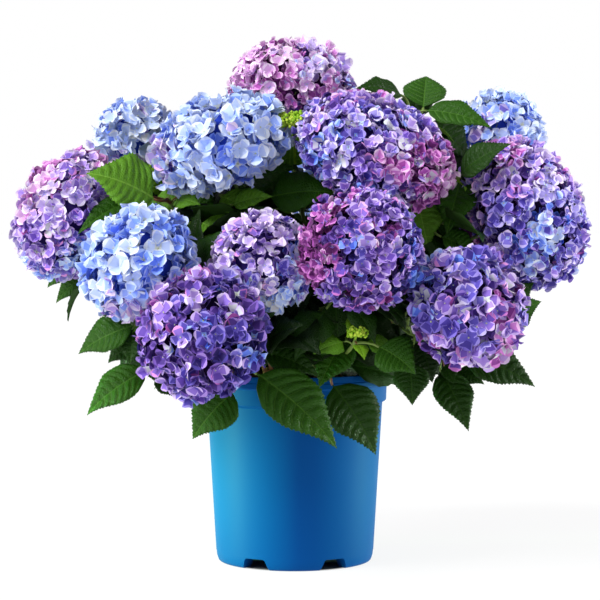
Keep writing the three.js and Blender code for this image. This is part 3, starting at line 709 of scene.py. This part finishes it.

# Leaves set one by one on the front, each from the nearest shoot: base, tip, width, shade.
# the shade of each leaf follows how it looks where it hangs: partly its own colour and age, partly painted
# light and shade
SET_LEAVES = [
    # upper left, round the first two heads
    ((-154, -92, 416), (-226, -112, 448), 78, 3),
    ((-147, 12, 420), (-171, -2, 458), 32, 4),
    ((-122, -44, 424), (-165, -40, 401), 30, 3),
    ((-176, -88, 416), (-236, -132, 384), 32, 2),
    ((-256, 20, 340), (-288, 22, 314), 24, 2),
    ((-240, 10, 330), (-277, 10, 297), 26, 2),
    # in the shade between the middle heads, given paler colours to offset it, a painted light
    ((-188, 40, 422), (-246, 42, 426), 50, 2),
    ((-124, -22, 396), (-98, -32, 362), 40, 2),
    ((-70, -4, 412), (-44, -10, 380), 42, 2),
    ((-105, -80, 391), (-65, -92, 369), 42, 3),
    ((-84, -60, 420), (-45, -76, 400), 38, 3),
    ((-18, -50, 406), (27, -66, 424), 38, 3),
    ((-70, -76, 410), (-25, -90, 421), 30, 3),
    ((-135, 10, 425), (-85, -5, 388), 46, 2),
    ((-60, 20, 430), (0, 10, 455), 46, 2),
    ((-124, 4, 446), (-56, -2, 430), 46, 2),
    ((-6, 30, 452), (-4, 14, 497), 46, 3),
    ((-8, 26, 462), (-28, -2, 500), 36, 3),
    ((135, -40, 425), (150, -60, 362), 54, 3),
    ((150, 12, 398), (168, -8, 345), 50, 2),
    ((-40, -100, 296), (10, -122, 284), 44, 3),
    ((-50, -120, 300), (-30, -130, 262), 40, 3),
    # upper right, between the heads
    ((124, 22, 536), (71, -20, 544), 34, 1),
    ((124, 40, 508), (62, 38, 530), 54, 1),
    ((140, 34, 508), (140, 44, 546), 40, 1),
    ((154, 34, 506), (206, 42, 462), 48, 1),
    ((148, 14, 520), (153, 44, 560), 50, 2),
    ((149, 4, 518), (224, -16, 500), 38, 2),
    ((184, -66, 442), (236, -98, 480), 40, 1),
    ((190, -20, 440), (170, -78, 380), 50, 2),
    ((180, 12, 450), (206, 30, 412), 42, 1),
    ((163, -64, 375), (207, -64, 353), 36, 2),
    # low on the left
    ((-172, -152, 281), (-236, -146, 251), 46, 2),
    ((-176, -118, 288), (-212, -128, 292), 30, 1),
    ((-174, -150, 278), (-178, -168, 240), 30, 1),
    ((-161, -104, 229), (-231, -112, 182), 46, 2),
    ((-152, -86, 226), (-120, -104, 194), 38, 1),
    ((-158, -74, 248), (-150, -78, 208), 36, 1),
    ((-170, -120, 262), (-205, -130, 240), 34, 1),
    # hanging over the front of the pot
    ((-64, -176, 212), (-110, -188, 163), 58, 2),
    ((14, -112, 288), (-14, -128, 238), 50, 1),
    ((-35, -160, 253), (27, -176, 230), 38, 1),
    ((-43, -188, 233), (46, -206, 156), 66, 2),
    ((40, -132, 216), (90, -150, 142), 62, 1),
    ((56, -120, 266), (27, -150, 215), 48, 2),
    ((90, -166, 259), (130, -184, 233), 54, 2),
    ((126, -136, 239), (128, -156, 195), 40, 1),
    ((138, -104, 262), (152, -118, 216), 40, 0),
    # low on the right
    ((236, -80, 280), (273, -92, 304), 46, 2),
    ((236, -50, 288), (268, -56, 324), 38, 1),
    ((184, -86, 244), (268, -92, 211), 54, 1),
    ((150, -58, 252), (174, -66, 214), 42, 0),
    ((162, -90, 227), (192, -122, 164), 44, 1),
    ((166, -92, 232), (178, -104, 212), 18, 1),
    ((180, -76, 223), (212, -84, 212), 26, 1),
]


def leaf_half_width(along):
    """Half width of the blade, broadest before its middle and drawn out to a point."""
    along = min(1, max(0, along))
    drawn_out = 1 - 1.25 * max(0, along - 0.56)
    return BLADE_WIDTH / 2 * math.sin(math.pi * along ** 0.78) ** 0.8 * drawn_out


def leaf_pattern(veins, vein_rows, columns):
    """One flat blade: rows sweep forward along the side veins, columns run from base to tip."""
    rows = veins * vein_rows
    bm = bmesh.new()
    bmesh.ops.create_grid(bm, x_segments=rows, y_segments=columns, size=1)
    for face in bm.faces:
        middle = face.calc_center_median()
        row = math.floor((middle.x + 1) / 2 * rows)
        on_midrib = abs(middle.y) < 2 / columns
        on_vein = vein_rows > 2 and row % vein_rows == 0 and abs(middle.y) < 1 - 2 / columns and row > 0
        face.material_index = 1 if on_midrib or on_vein else 0
    for point in bm.verts:
        step = round((point.co.x + 1) / 2 * rows)
        column = round(abs(point.co.y) * columns / 2)
        side = math.copysign(1, point.co.y)
        phase = step % vein_rows
        pulled = vein_rows > 2 and phase == 1 and step < rows - 1
        row = (step - (VEIN_STEP if pulled else 0)) / rows
        reach = column / (columns / 2)
        sweep = VEIN_SWEEP * reach ** 1.15 * (1 - row) ** 0.7
        along = row + sweep
        half = leaf_half_width(along)
        width = half * (reach ** max(0.35, min(1, 0.35 + row * 5)))
        width = MIDRIB * (1 - 0.7 * row) if column == 1 and width > MIDRIB else width
        width = 0 if column == 0 else width
        swell = QUILT * math.sin(math.pi * phase / vein_rows) * min(1, 4 * (1 - row))
        swell *= 0 if column in (0, columns // 2) else 1.0 if column > 1 else 0.35
        ahead = 0
        if column == columns // 2 and 0 < step < rows:
            width += TOOTH * (0.55 if step % 2 else -0.45) * min(1, half / 8)
            ahead = TOOTH if step % 2 else 0
        point.co = (along * BLADE_LENGTH + ahead, side * width, swell)
    bmesh.ops.remove_doubles(bm, verts=bm.verts, dist=0.05)
    under = bmesh.ops.solidify(bm, geom=bm.faces[:], thickness=BLADE_THICKNESS)["geom"]
    for item in under:
        if isinstance(item, bmesh.types.BMFace):
            item.material_index = 2
    bmesh.ops.recalc_face_normals(bm, faces=bm.faces)
    return mesh_arrays(bm)


def shoot_point(curve, place):
    """Middle of a shoot as the CAD model draws it, in straight steps."""
    step = min(math.floor(place * SHOOT_STEPS), SHOOT_STEPS - 1)
    low, high = curve_point(curve, step / SHOOT_STEPS), curve_point(curve, (step + 1) / SHOOT_STEPS)
    return low + (high - low) * (place * SHOOT_STEPS - step)


def leaf_face(base, tip, sought):
    way = unit(tip - base)
    return unit(sought - way * (sought @ way))


def outward(base, tip):
    middle = (base + tip) / 2 * (1, 1, 0)
    return unit(middle) * 0.85 + UP * 0.6


def nearest_shoot(point):
    best = (math.inf, None, None)
    for name, curve in curves.items():
        for step in range(2, SHOOT_PLACES - 1):
            root = shoot_point(curve, step / SHOOT_PLACES)
            gap = np.linalg.norm(root - point)
            if gap < best[0]:
                best = (gap, name, root)
    return best[1:]


def set_leaves(rows):
    for base, tip, width, shade in rows:
        base, tip = np.array(base, float), np.array(tip, float)
        name, root = nearest_shoot(base)
        yield name, root, base, tip, width, leaf_face(base, tip, FRONT_LIGHT), shade


def pair_of_leaves(curve, place, size, turn, draw, stalk):
    root = shoot_point(curve, place)
    way = curve_way(curve, place)
    ahead = unit(np.cross(ASKEW, way))
    for half in (0, math.pi):
        out = turned(ahead, way, turn + half)
        length = size * (0.84 + 0.32 * next(draw))
        droop = 0.1 + 0.5 * next(draw)
        base = root + unit(out + way * 0.55) * stalk
        tip = base + unit(out + way * 0.3 - UP * droop) * length
        yield root, base, tip, length * LEAF_SLENDER, leaf_face(base, tip, outward(base, tip))


def grown_leaves(name):
    draw = dice(7919 * int(name))
    for pair, (place, size) in enumerate(PAIRS):
        turn = pair * math.pi / 2 + next(draw) * 0.9
        for leaf in pair_of_leaves(curves[name], place, size, turn, draw, PETIOLE):
            yield (name, *leaf)


def in_a_head(point, room):
    """Whether a point lies inside a flower head grown by room."""
    for name, (centre, radius, half) in HEADS.items():
        away = point - np.array(centre)
        up = away @ head_axis(name)
        flat = math.sqrt(max(0, away @ away - up * up))
        if (flat / (radius + room)) ** 2 + (up / (half + room)) ** 2 < 1:
            return True
    return False


def place_blade(pattern, base, tip, width, face, wave, droop):
    """The pattern stretched to a leaf: arched along the midrib, folded and waved across it."""
    points, triangles, finishes = pattern
    way = tip - base
    length = np.linalg.norm(way)
    side = unit(np.cross(face, way))
    along = points[:, 0:1] / BLADE_LENGTH
    across = points[:, 1:2] / (BLADE_WIDTH / 2)
    bow = 4 * LEAF_ARCH * length * along * (1 - along)
    fold = LEAF_FOLD * np.abs(across) * width / 2 * (1 - 0.5 * np.abs(across))
    ripple = wave * np.abs(across) ** 2 * np.sin(along * RIPPLES + 9 * wave) * width * RIPPLE_HEIGHT
    lift = points[:, 2:3] * length / BLADE_LENGTH - droop * along ** 4 * length
    placed = base + way * along + side * across * width / 2 + face * (bow + fold + ripple + lift)
    return placed, triangles, finishes


# Each shade of leaf: its name, and the colours of its upper side and its veins. The shaded
# colour is painted shade, for leaves deep in the plant and low in its shadow; the other shades
# differ partly by the leaves' own colour and age, partly by painted light and shade.
LEAF_SHADES = [
    ("shaded", (18, 40, 6), (30, 56, 14)),
    ("deep", (28, 60, 9), (44, 78, 20)),
    ("plain", (42, 84, 14), (66, 108, 32)),
    ("fresh", (88, 138, 34), (114, 160, 58)),
    ("young", (116, 166, 34), (150, 190, 70)),
]
leaf_finishes = []
for shade, upper, veins in LEAF_SHADES:
    under = [part + UNDER_PALER for part in upper]
    leaf_finishes += [
        finish(f"leaf_{shade}", upper, rough=0.4, grain=700, depth=0.0007, gloss=0.16, cells=330),
        finish(f"leaf_{shade}_vein", veins, rough=0.5, grain=700, depth=0.0003, gloss=0.14, vary=0.08),
        finish(f"leaf_{shade}_under", under, rough=0.7, grain=700, depth=0.0005, gloss=0.1),
    ]

full_blade = leaf_pattern(9, 4, 8)
plain_blade = leaf_pattern(6, 2, 4)
petiole_limb = straight_limb(6, 6)
leaves = {name: [] for name in curves}
cad_points = {}
for name in curves:
    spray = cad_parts[f"leaf_spray_{name}"].data
    cad_points[name] = np.array([v.co for v in spray.vertices]) / MM
leaf_draw = random.Random(4242)


def in_cad(name, tip):
    """Whether the CAD model has this leaf too: it leaves out those that would touch a neighbour."""
    return np.linalg.norm(cad_points[name] - tip, axis=1).min() < TIP_MATCH


def add_leaf(blade, name, root, base, tip, width, face, shade):
    wave, droop = leaf_draw.uniform(0.4, 1.4), leaf_draw.uniform(0.03, 0.1)
    points, triangles, finishes = place_blade(blade, base, tip, width, face, wave, droop)
    leaves[name].append((points, triangles, finishes + 3 * shade))
    start_way = unit(unit(base - root) + curve_way(curves[name], 0.5) * 0.6)
    stalk = limb_curve(root, start_way, base + (tip - base) * 0.03, unit(tip - base))
    size = PETIOLE_RADII[width > NARROW_LEAF]
    look = PETIOLE_RED if leaf_draw.random() < RED_PETIOLES else SHOOT_GREEN
    stems[name].append(bent_limb(petiole_limb, stalk, lambda part, _: size * (1.15 - 0.3 * part), look))


for leaf in set_leaves(SET_LEAVES):
    name, _, _, tip, *_ = leaf
    if in_cad(name, tip):
        add_leaf(full_blade, *leaf)
for shoot in curves:
    for name, root, base, tip, width, face in grown_leaves(shoot):
        if in_cad(name, tip):
            shade = int(leaf_draw.uniform(1, 3.2) + (base[2] > HIGH_LEAF) * 0.4)
            add_leaf(plain_blade, name, root, base, tip, width, face, shade)

# Leaves between the big pairs: those deep in the plant take the darkest colour and those further
# out the next, a painted shade that deepens towards the middle; small fresh and young ones sit
# at the tips of the shoots that end in leaves.
BETWEEN_PAIRS = [
    # place along the shoot, length in mm, turn round it, shade
    (0.08, 64, 2.2, 0), (0.14, 70, 0.3, 0), (0.20, 76, 1.2, 0), (0.25, 82, 1.9, 0), (0.30, 80, 2.8, 0),
    (0.42, 88, 0.9, 0), (0.47, 84, 1.7, 0), (0.52, 84, 2.5, 0), (0.64, 70, 2.0, 1), (0.68, 76, 1.2, 1),
    (0.78, 60, 2.7, 1),
]
TIP_PAIRS = [(0.93, 46, 0.4, 3), (0.975, 28, 2.0, 4)]
# these leaves take the shaded colour, a painted shade that closes the gaps between the heads
DEEP_LEAVES = [
    # set one by one, deep behind the gaps between the heads: base, tip, width, shade
    ((-70, 45, 388), (10, 45, 412), 58, 0),
    ((-66, 60, 410), (6, 56, 384), 54, 0),
    ((150, 46, 440), (214, 52, 474), 46, 0),
    ((-150, -60, 252), (-202, -66, 216), 46, 0),
    ((-140, 34, 390), (-198, 42, 420), 46, 0),
]
FRONT_HEM = 240  # mm; forward of FRONT no small leaf hangs below this height
BACK_HEM = SOIL_TOP + 12
FRONT = -60
for name, curve in curves.items():
    draw = dice(104651 + int(name))
    for place, size, turn, shade in BETWEEN_PAIRS + (TIP_PAIRS if name in LEAFY_SHOOTS else []):
        for root, base, tip, width, face in pair_of_leaves(curve, place, size, turn, draw, size / 4):
            samples = [base + (tip - base) * part for part in (0, 0.3, 0.6, 1)]
            hem = FRONT_HEM if tip[1] < FRONT else BACK_HEM
            if any(in_a_head(point, 4) for point in samples) or tip[2] < hem:
                continue
            add_leaf(plain_blade, name, root, base, tip, width, face, shade)
for row in set_leaves(DEEP_LEAVES):
    add_leaf(plain_blade, *row)

for name in curves:
    add_joined(f"leaves_{name}", leaves[name], leaf_finishes, "foliage", f"leaf_spray_{name}")
    add_joined(f"stems_{name}", stems[name], shoot_finishes, "foliage", f"leaf_spray_{name}")


# ---------------------------------------------------------------- unopened buds
# Tight clusters of green flower buds sit at the tips of a few shoots, each bud a small ball
# on the cluster's dome.

BUDS = [
    # shoot, place along it, middle, radius and height of the dome in mm, number of buds
    ("04", 0.82, (-1, -62, 503), 24, 13, 200),
    ("20", 1.00, (68, -164, 273), 12, 9, 70),
    ("18", 1.00, (-197, -131, 287), 9, 6, 44),
    ("19", 1.00, (197, -86, 267), 6, 5, 30),
]
BUD_SIZE = 1.9  # mm, radius of a bud
DOME_COVER = 1.5  # height of a dome that buds cover, in its radii


def golden_turn(k):
    """Direction of each next item of a spiral that fills a ball evenly."""
    return k * math.pi * (3 - math.sqrt(5))


def on_ball(polar, way):
    """A point on a ball of radius one."""
    return np.array((math.sin(polar) * math.cos(way), math.sin(polar) * math.sin(way), math.cos(polar)))


bud_shape = bmesh.new()
bmesh.ops.create_icosphere(bud_shape, subdivisions=1, radius=1)
bud = mesh_arrays(bud_shape)
bud_parts = []
for name, place, middle, wide, high, count in BUDS:
    draw = dice(77 + wide)
    middle = np.array(middle, float)
    for k in range(count):
        spot = on_ball(math.acos(1 - (k + 0.5) / count * DOME_COVER), golden_turn(k))
        size = BUD_SIZE * (0.7 + 0.6 * next(draw))
        spot = middle + spot * (wide, wide, high) * (0.66 + 0.34 * next(draw))
        bud_parts.append((bud[0] * size + spot, bud[1], bud[2] + (next(draw) < 0.5)))
    root = shoot_point(curves[name], min(place, 0.97))
    twig = limb_curve(root, unit(middle - root), middle, unit(middle - root))
    bud_parts.append(bent_limb(petiole_limb, twig, lambda part, _: 1.5))
bud_finishes = [
    finish(name, tint, rough=0.6, grain=800, depth=0.0002, gloss=0.35)
    for name, tint in (("bud_green", (142, 190, 30)), ("bud_yellow", (196, 226, 70)))
]
add_joined("flower_buds", bud_parts, bud_finishes, "foliage")


# ---------------------------------------------------------------- flower heads
# Each head is a ball of sterile flowers on a branching stalk. A flower has four broad,
# cupped sepals round a small pale eye; the sepals are paler along their edges, partly their own
# margin and partly a painted highlight.

HEAD_COVER = 152  # degrees from the top of a head that the flowers reach
FLOWER_SPACING = 1.72  # surface for each outer flower, in squares of its radius
INNER_FLOWERS = 0.6  # inner flowers for each outer one
INNER_DEPTH = 0.7  # their depth below the outer ones, in flower radii
CORE_SHARE = 0.74  # size of the inner ball, as a part of the head's
SEPAL_ROWS = [0, 0.24, 0.76, 0.97]
SEPAL_WIDTHS = [0.09, 0.36, 0.49, 0.26]
SEPAL_MARGIN = 0.82  # part of the width inside the paler edge
SEPAL_TIP = 0.1  # how far the round end reaches past the last row
FLOWER_PATTERNS = 14
FLOWER_DEPTH = 0.52  # depth of the outer flowers in the head, in flower radii
HEAD_LUMP = 3.0  # mm, the lumps of a head
FLOWER_LEAN = 0.46
RIBS = 22
RIB_INSET = 9  # mm from the end of a rib to the head's surface
FORK_DEPTH = 0.72  # where the ribs part, below the middle, in half thicknesses


def flower_pattern(seed):
    """One flower of radius 1, looking up: sepals 0 to 3, their edges 4 to 7, throat 8, eye 9."""
    draw = random.Random(seed)
    bm = bmesh.new()
    open_angle = draw.uniform(0.1, 1.2)
    for quarter in range(4):
        sepal = bmesh.ops.create_grid(bm, x_segments=3, y_segments=4, size=1)["verts"]
        size = draw.uniform(0.85, 1.15)
        rise = open_angle + draw.uniform(-0.3, 0.3)
        curl = draw.uniform(-1.1, 0.9) - 0.5 * open_angle
        curl = curl if abs(curl) > 0.05 else 0.05
        roll = draw.uniform(-0.6, 1.3)
        twist = draw.uniform(-0.4, 0.4)
        for face in {f for v in sepal for f in v.link_faces}:
            middle = face.calc_center_median()
            edge = middle.x > 0.4 or abs(middle.y) > 0.5
            face.material_index = 8 if middle.x < -0.4 else quarter + (4 if edge else 0)
        for point in sepal:
            row, across = round((point.co.x + 1) * 1.5), point.co.y
            along = SEPAL_ROWS[row]
            across = math.copysign(SEPAL_MARGIN, across) if abs(abs(across) - 0.5) < 0.1 else across
            half = SEPAL_WIDTHS[row]
            side = across * half
            round_off = SEPAL_TIP * (1 - across * across) if row == 3 else 0
            out = (math.sin(rise + curl * along) - math.sin(rise)) / curl + round_off
            up = (math.cos(rise) - math.cos(rise + curl * along)) / curl
            up += roll * side * side + twist * side * along
            point.co = (out * size, side * size, (up + 0.03 * (quarter % 2)) * size)
        turn = Matrix.Rotation(quarter * math.pi / 2 + draw.uniform(-0.16, 0.16), 3, "Z")
        bmesh.ops.rotate(bm, cent=(0, 0, 0), matrix=turn, verts=sepal)
    eye = bmesh.ops.create_uvsphere(bm, u_segments=4, v_segments=2, radius=0.09,
                                    matrix=Matrix.Translation((0, 0, 0.06)))["verts"]
    for face in {f for v in eye for f in v.link_faces}:
        face.material_index = 9
    return mesh_arrays(bm)


# Tints of the petals, from deep to white in each family: body of the sepal, and its paler edge,
# partly the sepal's own margin and partly a painted highlight.
PETAL_TINTS = {
    "rose": [((92, 26, 98), (142, 62, 146)), ((134, 54, 142), (196, 116, 196)),
             ((168, 78, 170), (222, 148, 218)), ((204, 126, 204), (238, 190, 236)),
             ((226, 180, 230), (248, 226, 248))],
    "lilac": [((68, 38, 126), (116, 82, 178)), ((100, 68, 172), (166, 134, 220)),
              ((136, 104, 202), (202, 176, 238)), ((174, 144, 224), (226, 208, 246)),
              ((206, 186, 240), (240, 230, 252))],
    "violet": [((38, 24, 100), (74, 60, 154)), ((60, 44, 142), (118, 102, 198)),
               ((90, 76, 180), (156, 142, 226)), ((128, 114, 212), (196, 184, 242)),
               ((172, 160, 234), (226, 218, 250))],
    "sky": [((52, 78, 186), (90, 122, 230)), ((86, 118, 232), (130, 162, 250)),
            ((118, 150, 250), (174, 198, 255)), ((156, 182, 255), (206, 221, 255)),
            ((196, 214, 255), (230, 239, 255))],
    "cream": [((170, 168, 190), (198, 194, 218)), ((190, 190, 206), (212, 210, 230)),
              ((208, 208, 218), (226, 224, 240)), ((220, 220, 226), (236, 234, 246)),
              ((230, 230, 232), (242, 240, 250))],
}
TINT_LEVELS = 5
SKY, CREAM = 3, 4


def petal_finish(name, tint):
    return finish(name, tint, rough=0.6, grain=900, depth=0.0004, gloss=0.25, sheen=0.1)


def petal_number(family, level):
    """Number of the finish of a sepal's body; that of its edge is the next."""
    return (family * TINT_LEVELS + level) * 2


petal_finishes = [
    petal_finish(f"petal_{family}_{level}_{part}", tint)
    for family, family_tints in PETAL_TINTS.items() for level, tint_pair in enumerate(family_tints)
    for part, tint in zip(("body", "edge"), tint_pair)
]
THROAT_FINISH, EYE_FINISH = len(petal_finishes), len(petal_finishes) + 1
petal_finishes += [
    petal_finish("throat_cream", (216, 222, 222)),
    finish("flower_eye", (206, 212, 160), rough=0.6, grain=900, depth=0.0002, gloss=0.3),
]
# the inner ball of each head is coloured dark, a painted shade that fills the gaps between the flowers
CORE_SHADE_TINTS = {
    "petals_sky": (48, 74, 190), "petals_rose": (58, 20, 70), "petals_lilac": (52, 36, 108),
    "petals_violet": (34, 16, 62),
}
core_shade_finishes = {}
for slot, tint in CORE_SHADE_TINTS.items():
    core_shade_finishes[slot] = len(petal_finishes)
    petal_finishes.append(finish(f"inner_{slot}", tint, rough=0.85, grain=300, depth=0.002, gloss=0.1))
STALK_FINISH = len(petal_finishes)
petal_finishes.append(finish("head_stalk", (104, 128, 66), rough=0.6, grain=500, depth=0.0003, gloss=0.3))

HEAD_LOOKS = {
    # slot, shares of rose, lilac, violet and sky, the side where it is bluest in degrees from
    # its right, how pale (partly the head's own colour, partly painted light that lifts heads lying
    # in shade), shares of cream flowers and of cream throats, flower radius in mm
    "01": ("petals_lilac", (0.22, 0.56, 0.14, 0.08), -60, 0.74, 0.04, 0.05, 10.5),
    "02": ("petals_sky", (0.0, 0.12, 0.04, 0.84), 90, 1.08, 0.01, 0.1, 12.0),
    "03": ("petals_sky", (0.0, 0.03, 0.0, 0.97), 20, 0.92, 0.05, 0.4, 13.5),
    "04": ("petals_rose", (0.74, 0.25, 0.01, 0.0), -20, 0.92, 0.02, 0.0, 10.0),
    "05": ("petals_lilac", (0.24, 0.50, 0.25, 0.01), 170, 0.58, 0.04, 0.0, 10.5),
    "06": ("petals_sky", (0.0, 0.12, 0.06, 0.82), 80, 0.96, 0.02, 0.1, 11.5),
    "07": ("petals_violet", (0.04, 0.42, 0.48, 0.06), -50, 0.62, 0.02, 0.0, 10.5),
    "08": ("petals_sky", (0.0, 0.06, 0.0, 0.94), 100, 0.80, 0.02, 0.3, 13.5),
    "09": ("petals_lilac", (0.0, 0.42, 0.36, 0.22), -40, 0.88, 0.03, 0.05, 10.0),
    "10": ("petals_violet", (0.28, 0.50, 0.22, 0.0), 0, 0.30, 0.02, 0.0, 10.0),
    "11": ("petals_violet", (0.03, 0.52, 0.45, 0.0), -50, 0.36, 0.02, 0.05, 12.0),
    "12": ("petals_violet", (0.03, 0.52, 0.44, 0.01), 130, 0.48, 0.05, 0.2, 13.0),
    "13": ("petals_lilac", (0.2, 0.52, 0.14, 0.14), 40, 0.50, 0.03, 0.05, 11.5),
    "14": ("petals_sky", (0.0, 0.1, 0.02, 0.88), 120, 0.58, 0.04, 0.3, 13.0),
    "15": ("petals_violet", (0.3, 0.36, 0.3, 0.04), -30, 0.44, 0.02, 0.0, 11.0),
    "16": ("petals_sky", (0.0, 0.2, 0.06, 0.74), 70, 0.56, 0.03, 0.2, 13.0),
    "17": ("petals_violet", (0.12, 0.32, 0.46, 0.1), -70, 0.44, 0.03, 0.0, 12.0),
}
HUE_PATCH = 1.5  # patches of one hue across a head; higher is smaller
TONE_PATCH = 2.1  # patches of one depth of dye
HUE_SIDE = 0.5  # how far the bluest side shows against the patches
HUE_JITTER = 0.14
TONE_JITTER = 0.75
# how many levels darker the inner flowers are made, a painted shade deep in the head
INNER_SHADE_LEVELS = {"petals_sky": 1.4, "petals_rose": 2.2, "petals_lilac": 2.0, "petals_violet": 2.6}
PINKER_EDGES = 0.16  # share of the sepals with edges one family nearer to rose
BLUER_THROATS = 0.4  # share of the throats that are one family nearer to blue
BUDS_BETWEEN = np.array((-1, -66, 504))  # a head leaves room for the buds beside it
BUDS_ROOM = 21

flower_patterns = [flower_pattern(5 + 13 * k) for k in range(FLOWER_PATTERNS)]
core_shape = bmesh.new()
bmesh.ops.create_icosphere(core_shape, subdivisions=3, radius=1)
core_pattern = mesh_arrays(core_shape)
rib_limb = straight_limb(4, 3)
stalk_limb = straight_limb(8, 4)


def frame_to(way):
    """Turns +Z to a direction; the columns are the new axes."""
    return np.array(Vector((0, 0, 1)).rotation_difference(Vector(way)).to_matrix())


def tinted(zones, bodies, edges, levels, throat):
    """Finish numbers of one flower whose four sepals each have two families and a level."""
    looks = np.empty_like(zones)
    for quarter in range(4):
        looks[zones == quarter] = petal_number(bodies[quarter], levels[quarter])
        looks[zones == quarter + 4] = petal_number(edges[quarter], levels[quarter]) + 1
    looks[zones == 8] = throat
    looks[zones == 9] = EYE_FINISH
    return looks


def family_at(share, value):
    """The family that holds this part, 0 to 1, of a head's flowers."""
    total = np.cumsum(share)
    return int(min(np.searchsorted(total, max(value, 0.001) * total[-1]), len(share) - 1))


def flower_places(name, draw):
    """Where the flowers of a head sit on a ball of radius one, their layer and rank in hue."""
    _, radius, half = HEADS[name]
    _, _, bluest, *_, flower_radius = HEAD_LOOKS[name]
    bluest = math.radians(bluest)
    blue_side = np.array((math.cos(bluest), 0, math.sin(bluest)))
    upright = frame_to(head_axis(name))
    cover = 1 - math.cos(math.radians(HEAD_COVER))
    surface = math.pi * radius * (radius + half) * cover
    outer = round(surface / (FLOWER_SPACING * flower_radius ** 2))
    places = []
    for layer, count in enumerate((outer, round(outer * INNER_FLOWERS))):
        for k in range(count):
            polar = math.acos(1 - (k + 0.5) / count * cover) + draw.uniform(-0.04, 0.04)
            ball = Vector(on_ball(polar, golden_turn(k) + draw.uniform(-0.15, 0.15) + layer))
            hue = noise.noise(ball * HUE_PATCH + Vector((0, int(name) * 3.7, 0)))
            hue += HUE_SIDE * (upright @ np.array(ball)) @ blue_side + draw.gauss(0, HUE_JITTER)
            places.append((ball, layer, hue))
    order = np.argsort(np.argsort([hue for _, _, hue in places])) / len(places)
    return [(ball, layer, rank) for (ball, layer, _), rank in zip(places, order)]


def inside_of_head(centre, radius, half, upright, slot):
    """The inner ball, dark as a painted shade, the stalk below it and the ribs that branch out to the
    flowers.
    """
    core, triangles, finishes = core_pattern
    core_size = np.array((radius, radius, half)) * CORE_SHARE
    yield core * core_size @ upright.T + centre, triangles, finishes + core_shade_finishes[slot]
    axis = upright[:, 2]
    foot, fork = centre - axis * (half + STALK), centre - axis * half * FORK_DEPTH
    stalk = limb_curve(foot, axis, fork, axis)
    yield bent_limb(stalk_limb, stalk, lambda part, _: SHOOT_TIP_RADIUS + 0.5 * part, STALK_FINISH)
    for k in range(RIBS):
        end = on_ball(math.radians(84 + 50 * ((k * 0.37) % 1)), k * 2.4)
        end = upright @ (end * (radius - RIB_INSET, radius - RIB_INSET, half - RIB_INSET)) + centre
        rib = limb_curve(fork, unit(axis * 0.2 + unit(end - fork)), end, unit(end - centre))
        yield bent_limb(rib_limb, rib, lambda part, _: 1.3 - 0.5 * part, STALK_FINISH)


def flower_head(name):
    centre, radius, half = HEADS[name]
    centre = np.array(centre, float)
    slot, share, _, pale_and_lit, cream, throats, flower_radius = HEAD_LOOKS[name]
    upright = frame_to(head_axis(name))
    draw = random.Random(900 + 17 * int(name))
    parts = []
    for ball, layer, rank in flower_places(name, draw):
        lump = HEAD_LUMP * noise.noise(ball * 2.3 + Vector((int(name), 0, 0)))
        depth = flower_radius * (FLOWER_DEPTH + layer * INNER_DEPTH + draw.uniform(-0.3, 0.3)) - lump
        spot = upright @ (np.array(ball) * (radius - depth, radius - depth, half - depth))
        normal = np.array((ball.x / radius, ball.y / radius, ball.z / half))
        lean = np.array([draw.gauss(0, FLOWER_LEAN) for _ in range(3)])
        face = frame_to(upright @ unit(unit(normal) + lean))
        spin = np.array(Matrix.Rotation(draw.uniform(0, 2 * math.pi), 3, "Z"))
        if np.linalg.norm(spot + centre - BUDS_BETWEEN) < BUDS_ROOM:
            continue
        points, triangles, zones = draw.choice(flower_patterns)
        size = flower_radius * draw.uniform(0.86, 1.14) * (1 - 0.1 * layer)
        family = family_at(share, rank)
        patch = 1.6 * noise.noise(ball * TONE_PATCH + Vector((int(name) * 5.1, 9, 0)))
        # the flowers grow paler towards the top of the head, a painted light
        tone = pale_and_lit * 4 + 0.3 * ball.z + patch + draw.gauss(0, TONE_JITTER) - INNER_SHADE_LEVELS[slot] * layer
        bodies = [family_at(share, rank + draw.gauss(0, 0.08)) for _ in range(4)]
        edges = [max(body - (draw.random() < PINKER_EDGES), 0) if body < SKY else body for body in bodies]
        bodies = [CREAM] * 4 if draw.random() < cream and not layer else bodies
        levels = [int(np.clip(round(tone + draw.gauss(0, 0.5)), 0, 4)) for _ in range(4)]
        bluer = min(family + (draw.random() < BLUER_THROATS), SKY)
        throat = petal_number(bluer, min(levels[0] + 1, 4))
        if draw.random() < throats and not layer:
            throat = THROAT_FINISH
        placed = points @ (face @ spin * size).T + spot + centre
        parts.append((placed, triangles, tinted(zones, bodies, edges, levels, throat)))
    parts += inside_of_head(centre, radius, half, upright, slot)
    add_joined(f"blossom_{name}", parts, petal_finishes, slot, f"flower_head_{name}")


for name in HEADS:
    flower_head(name)
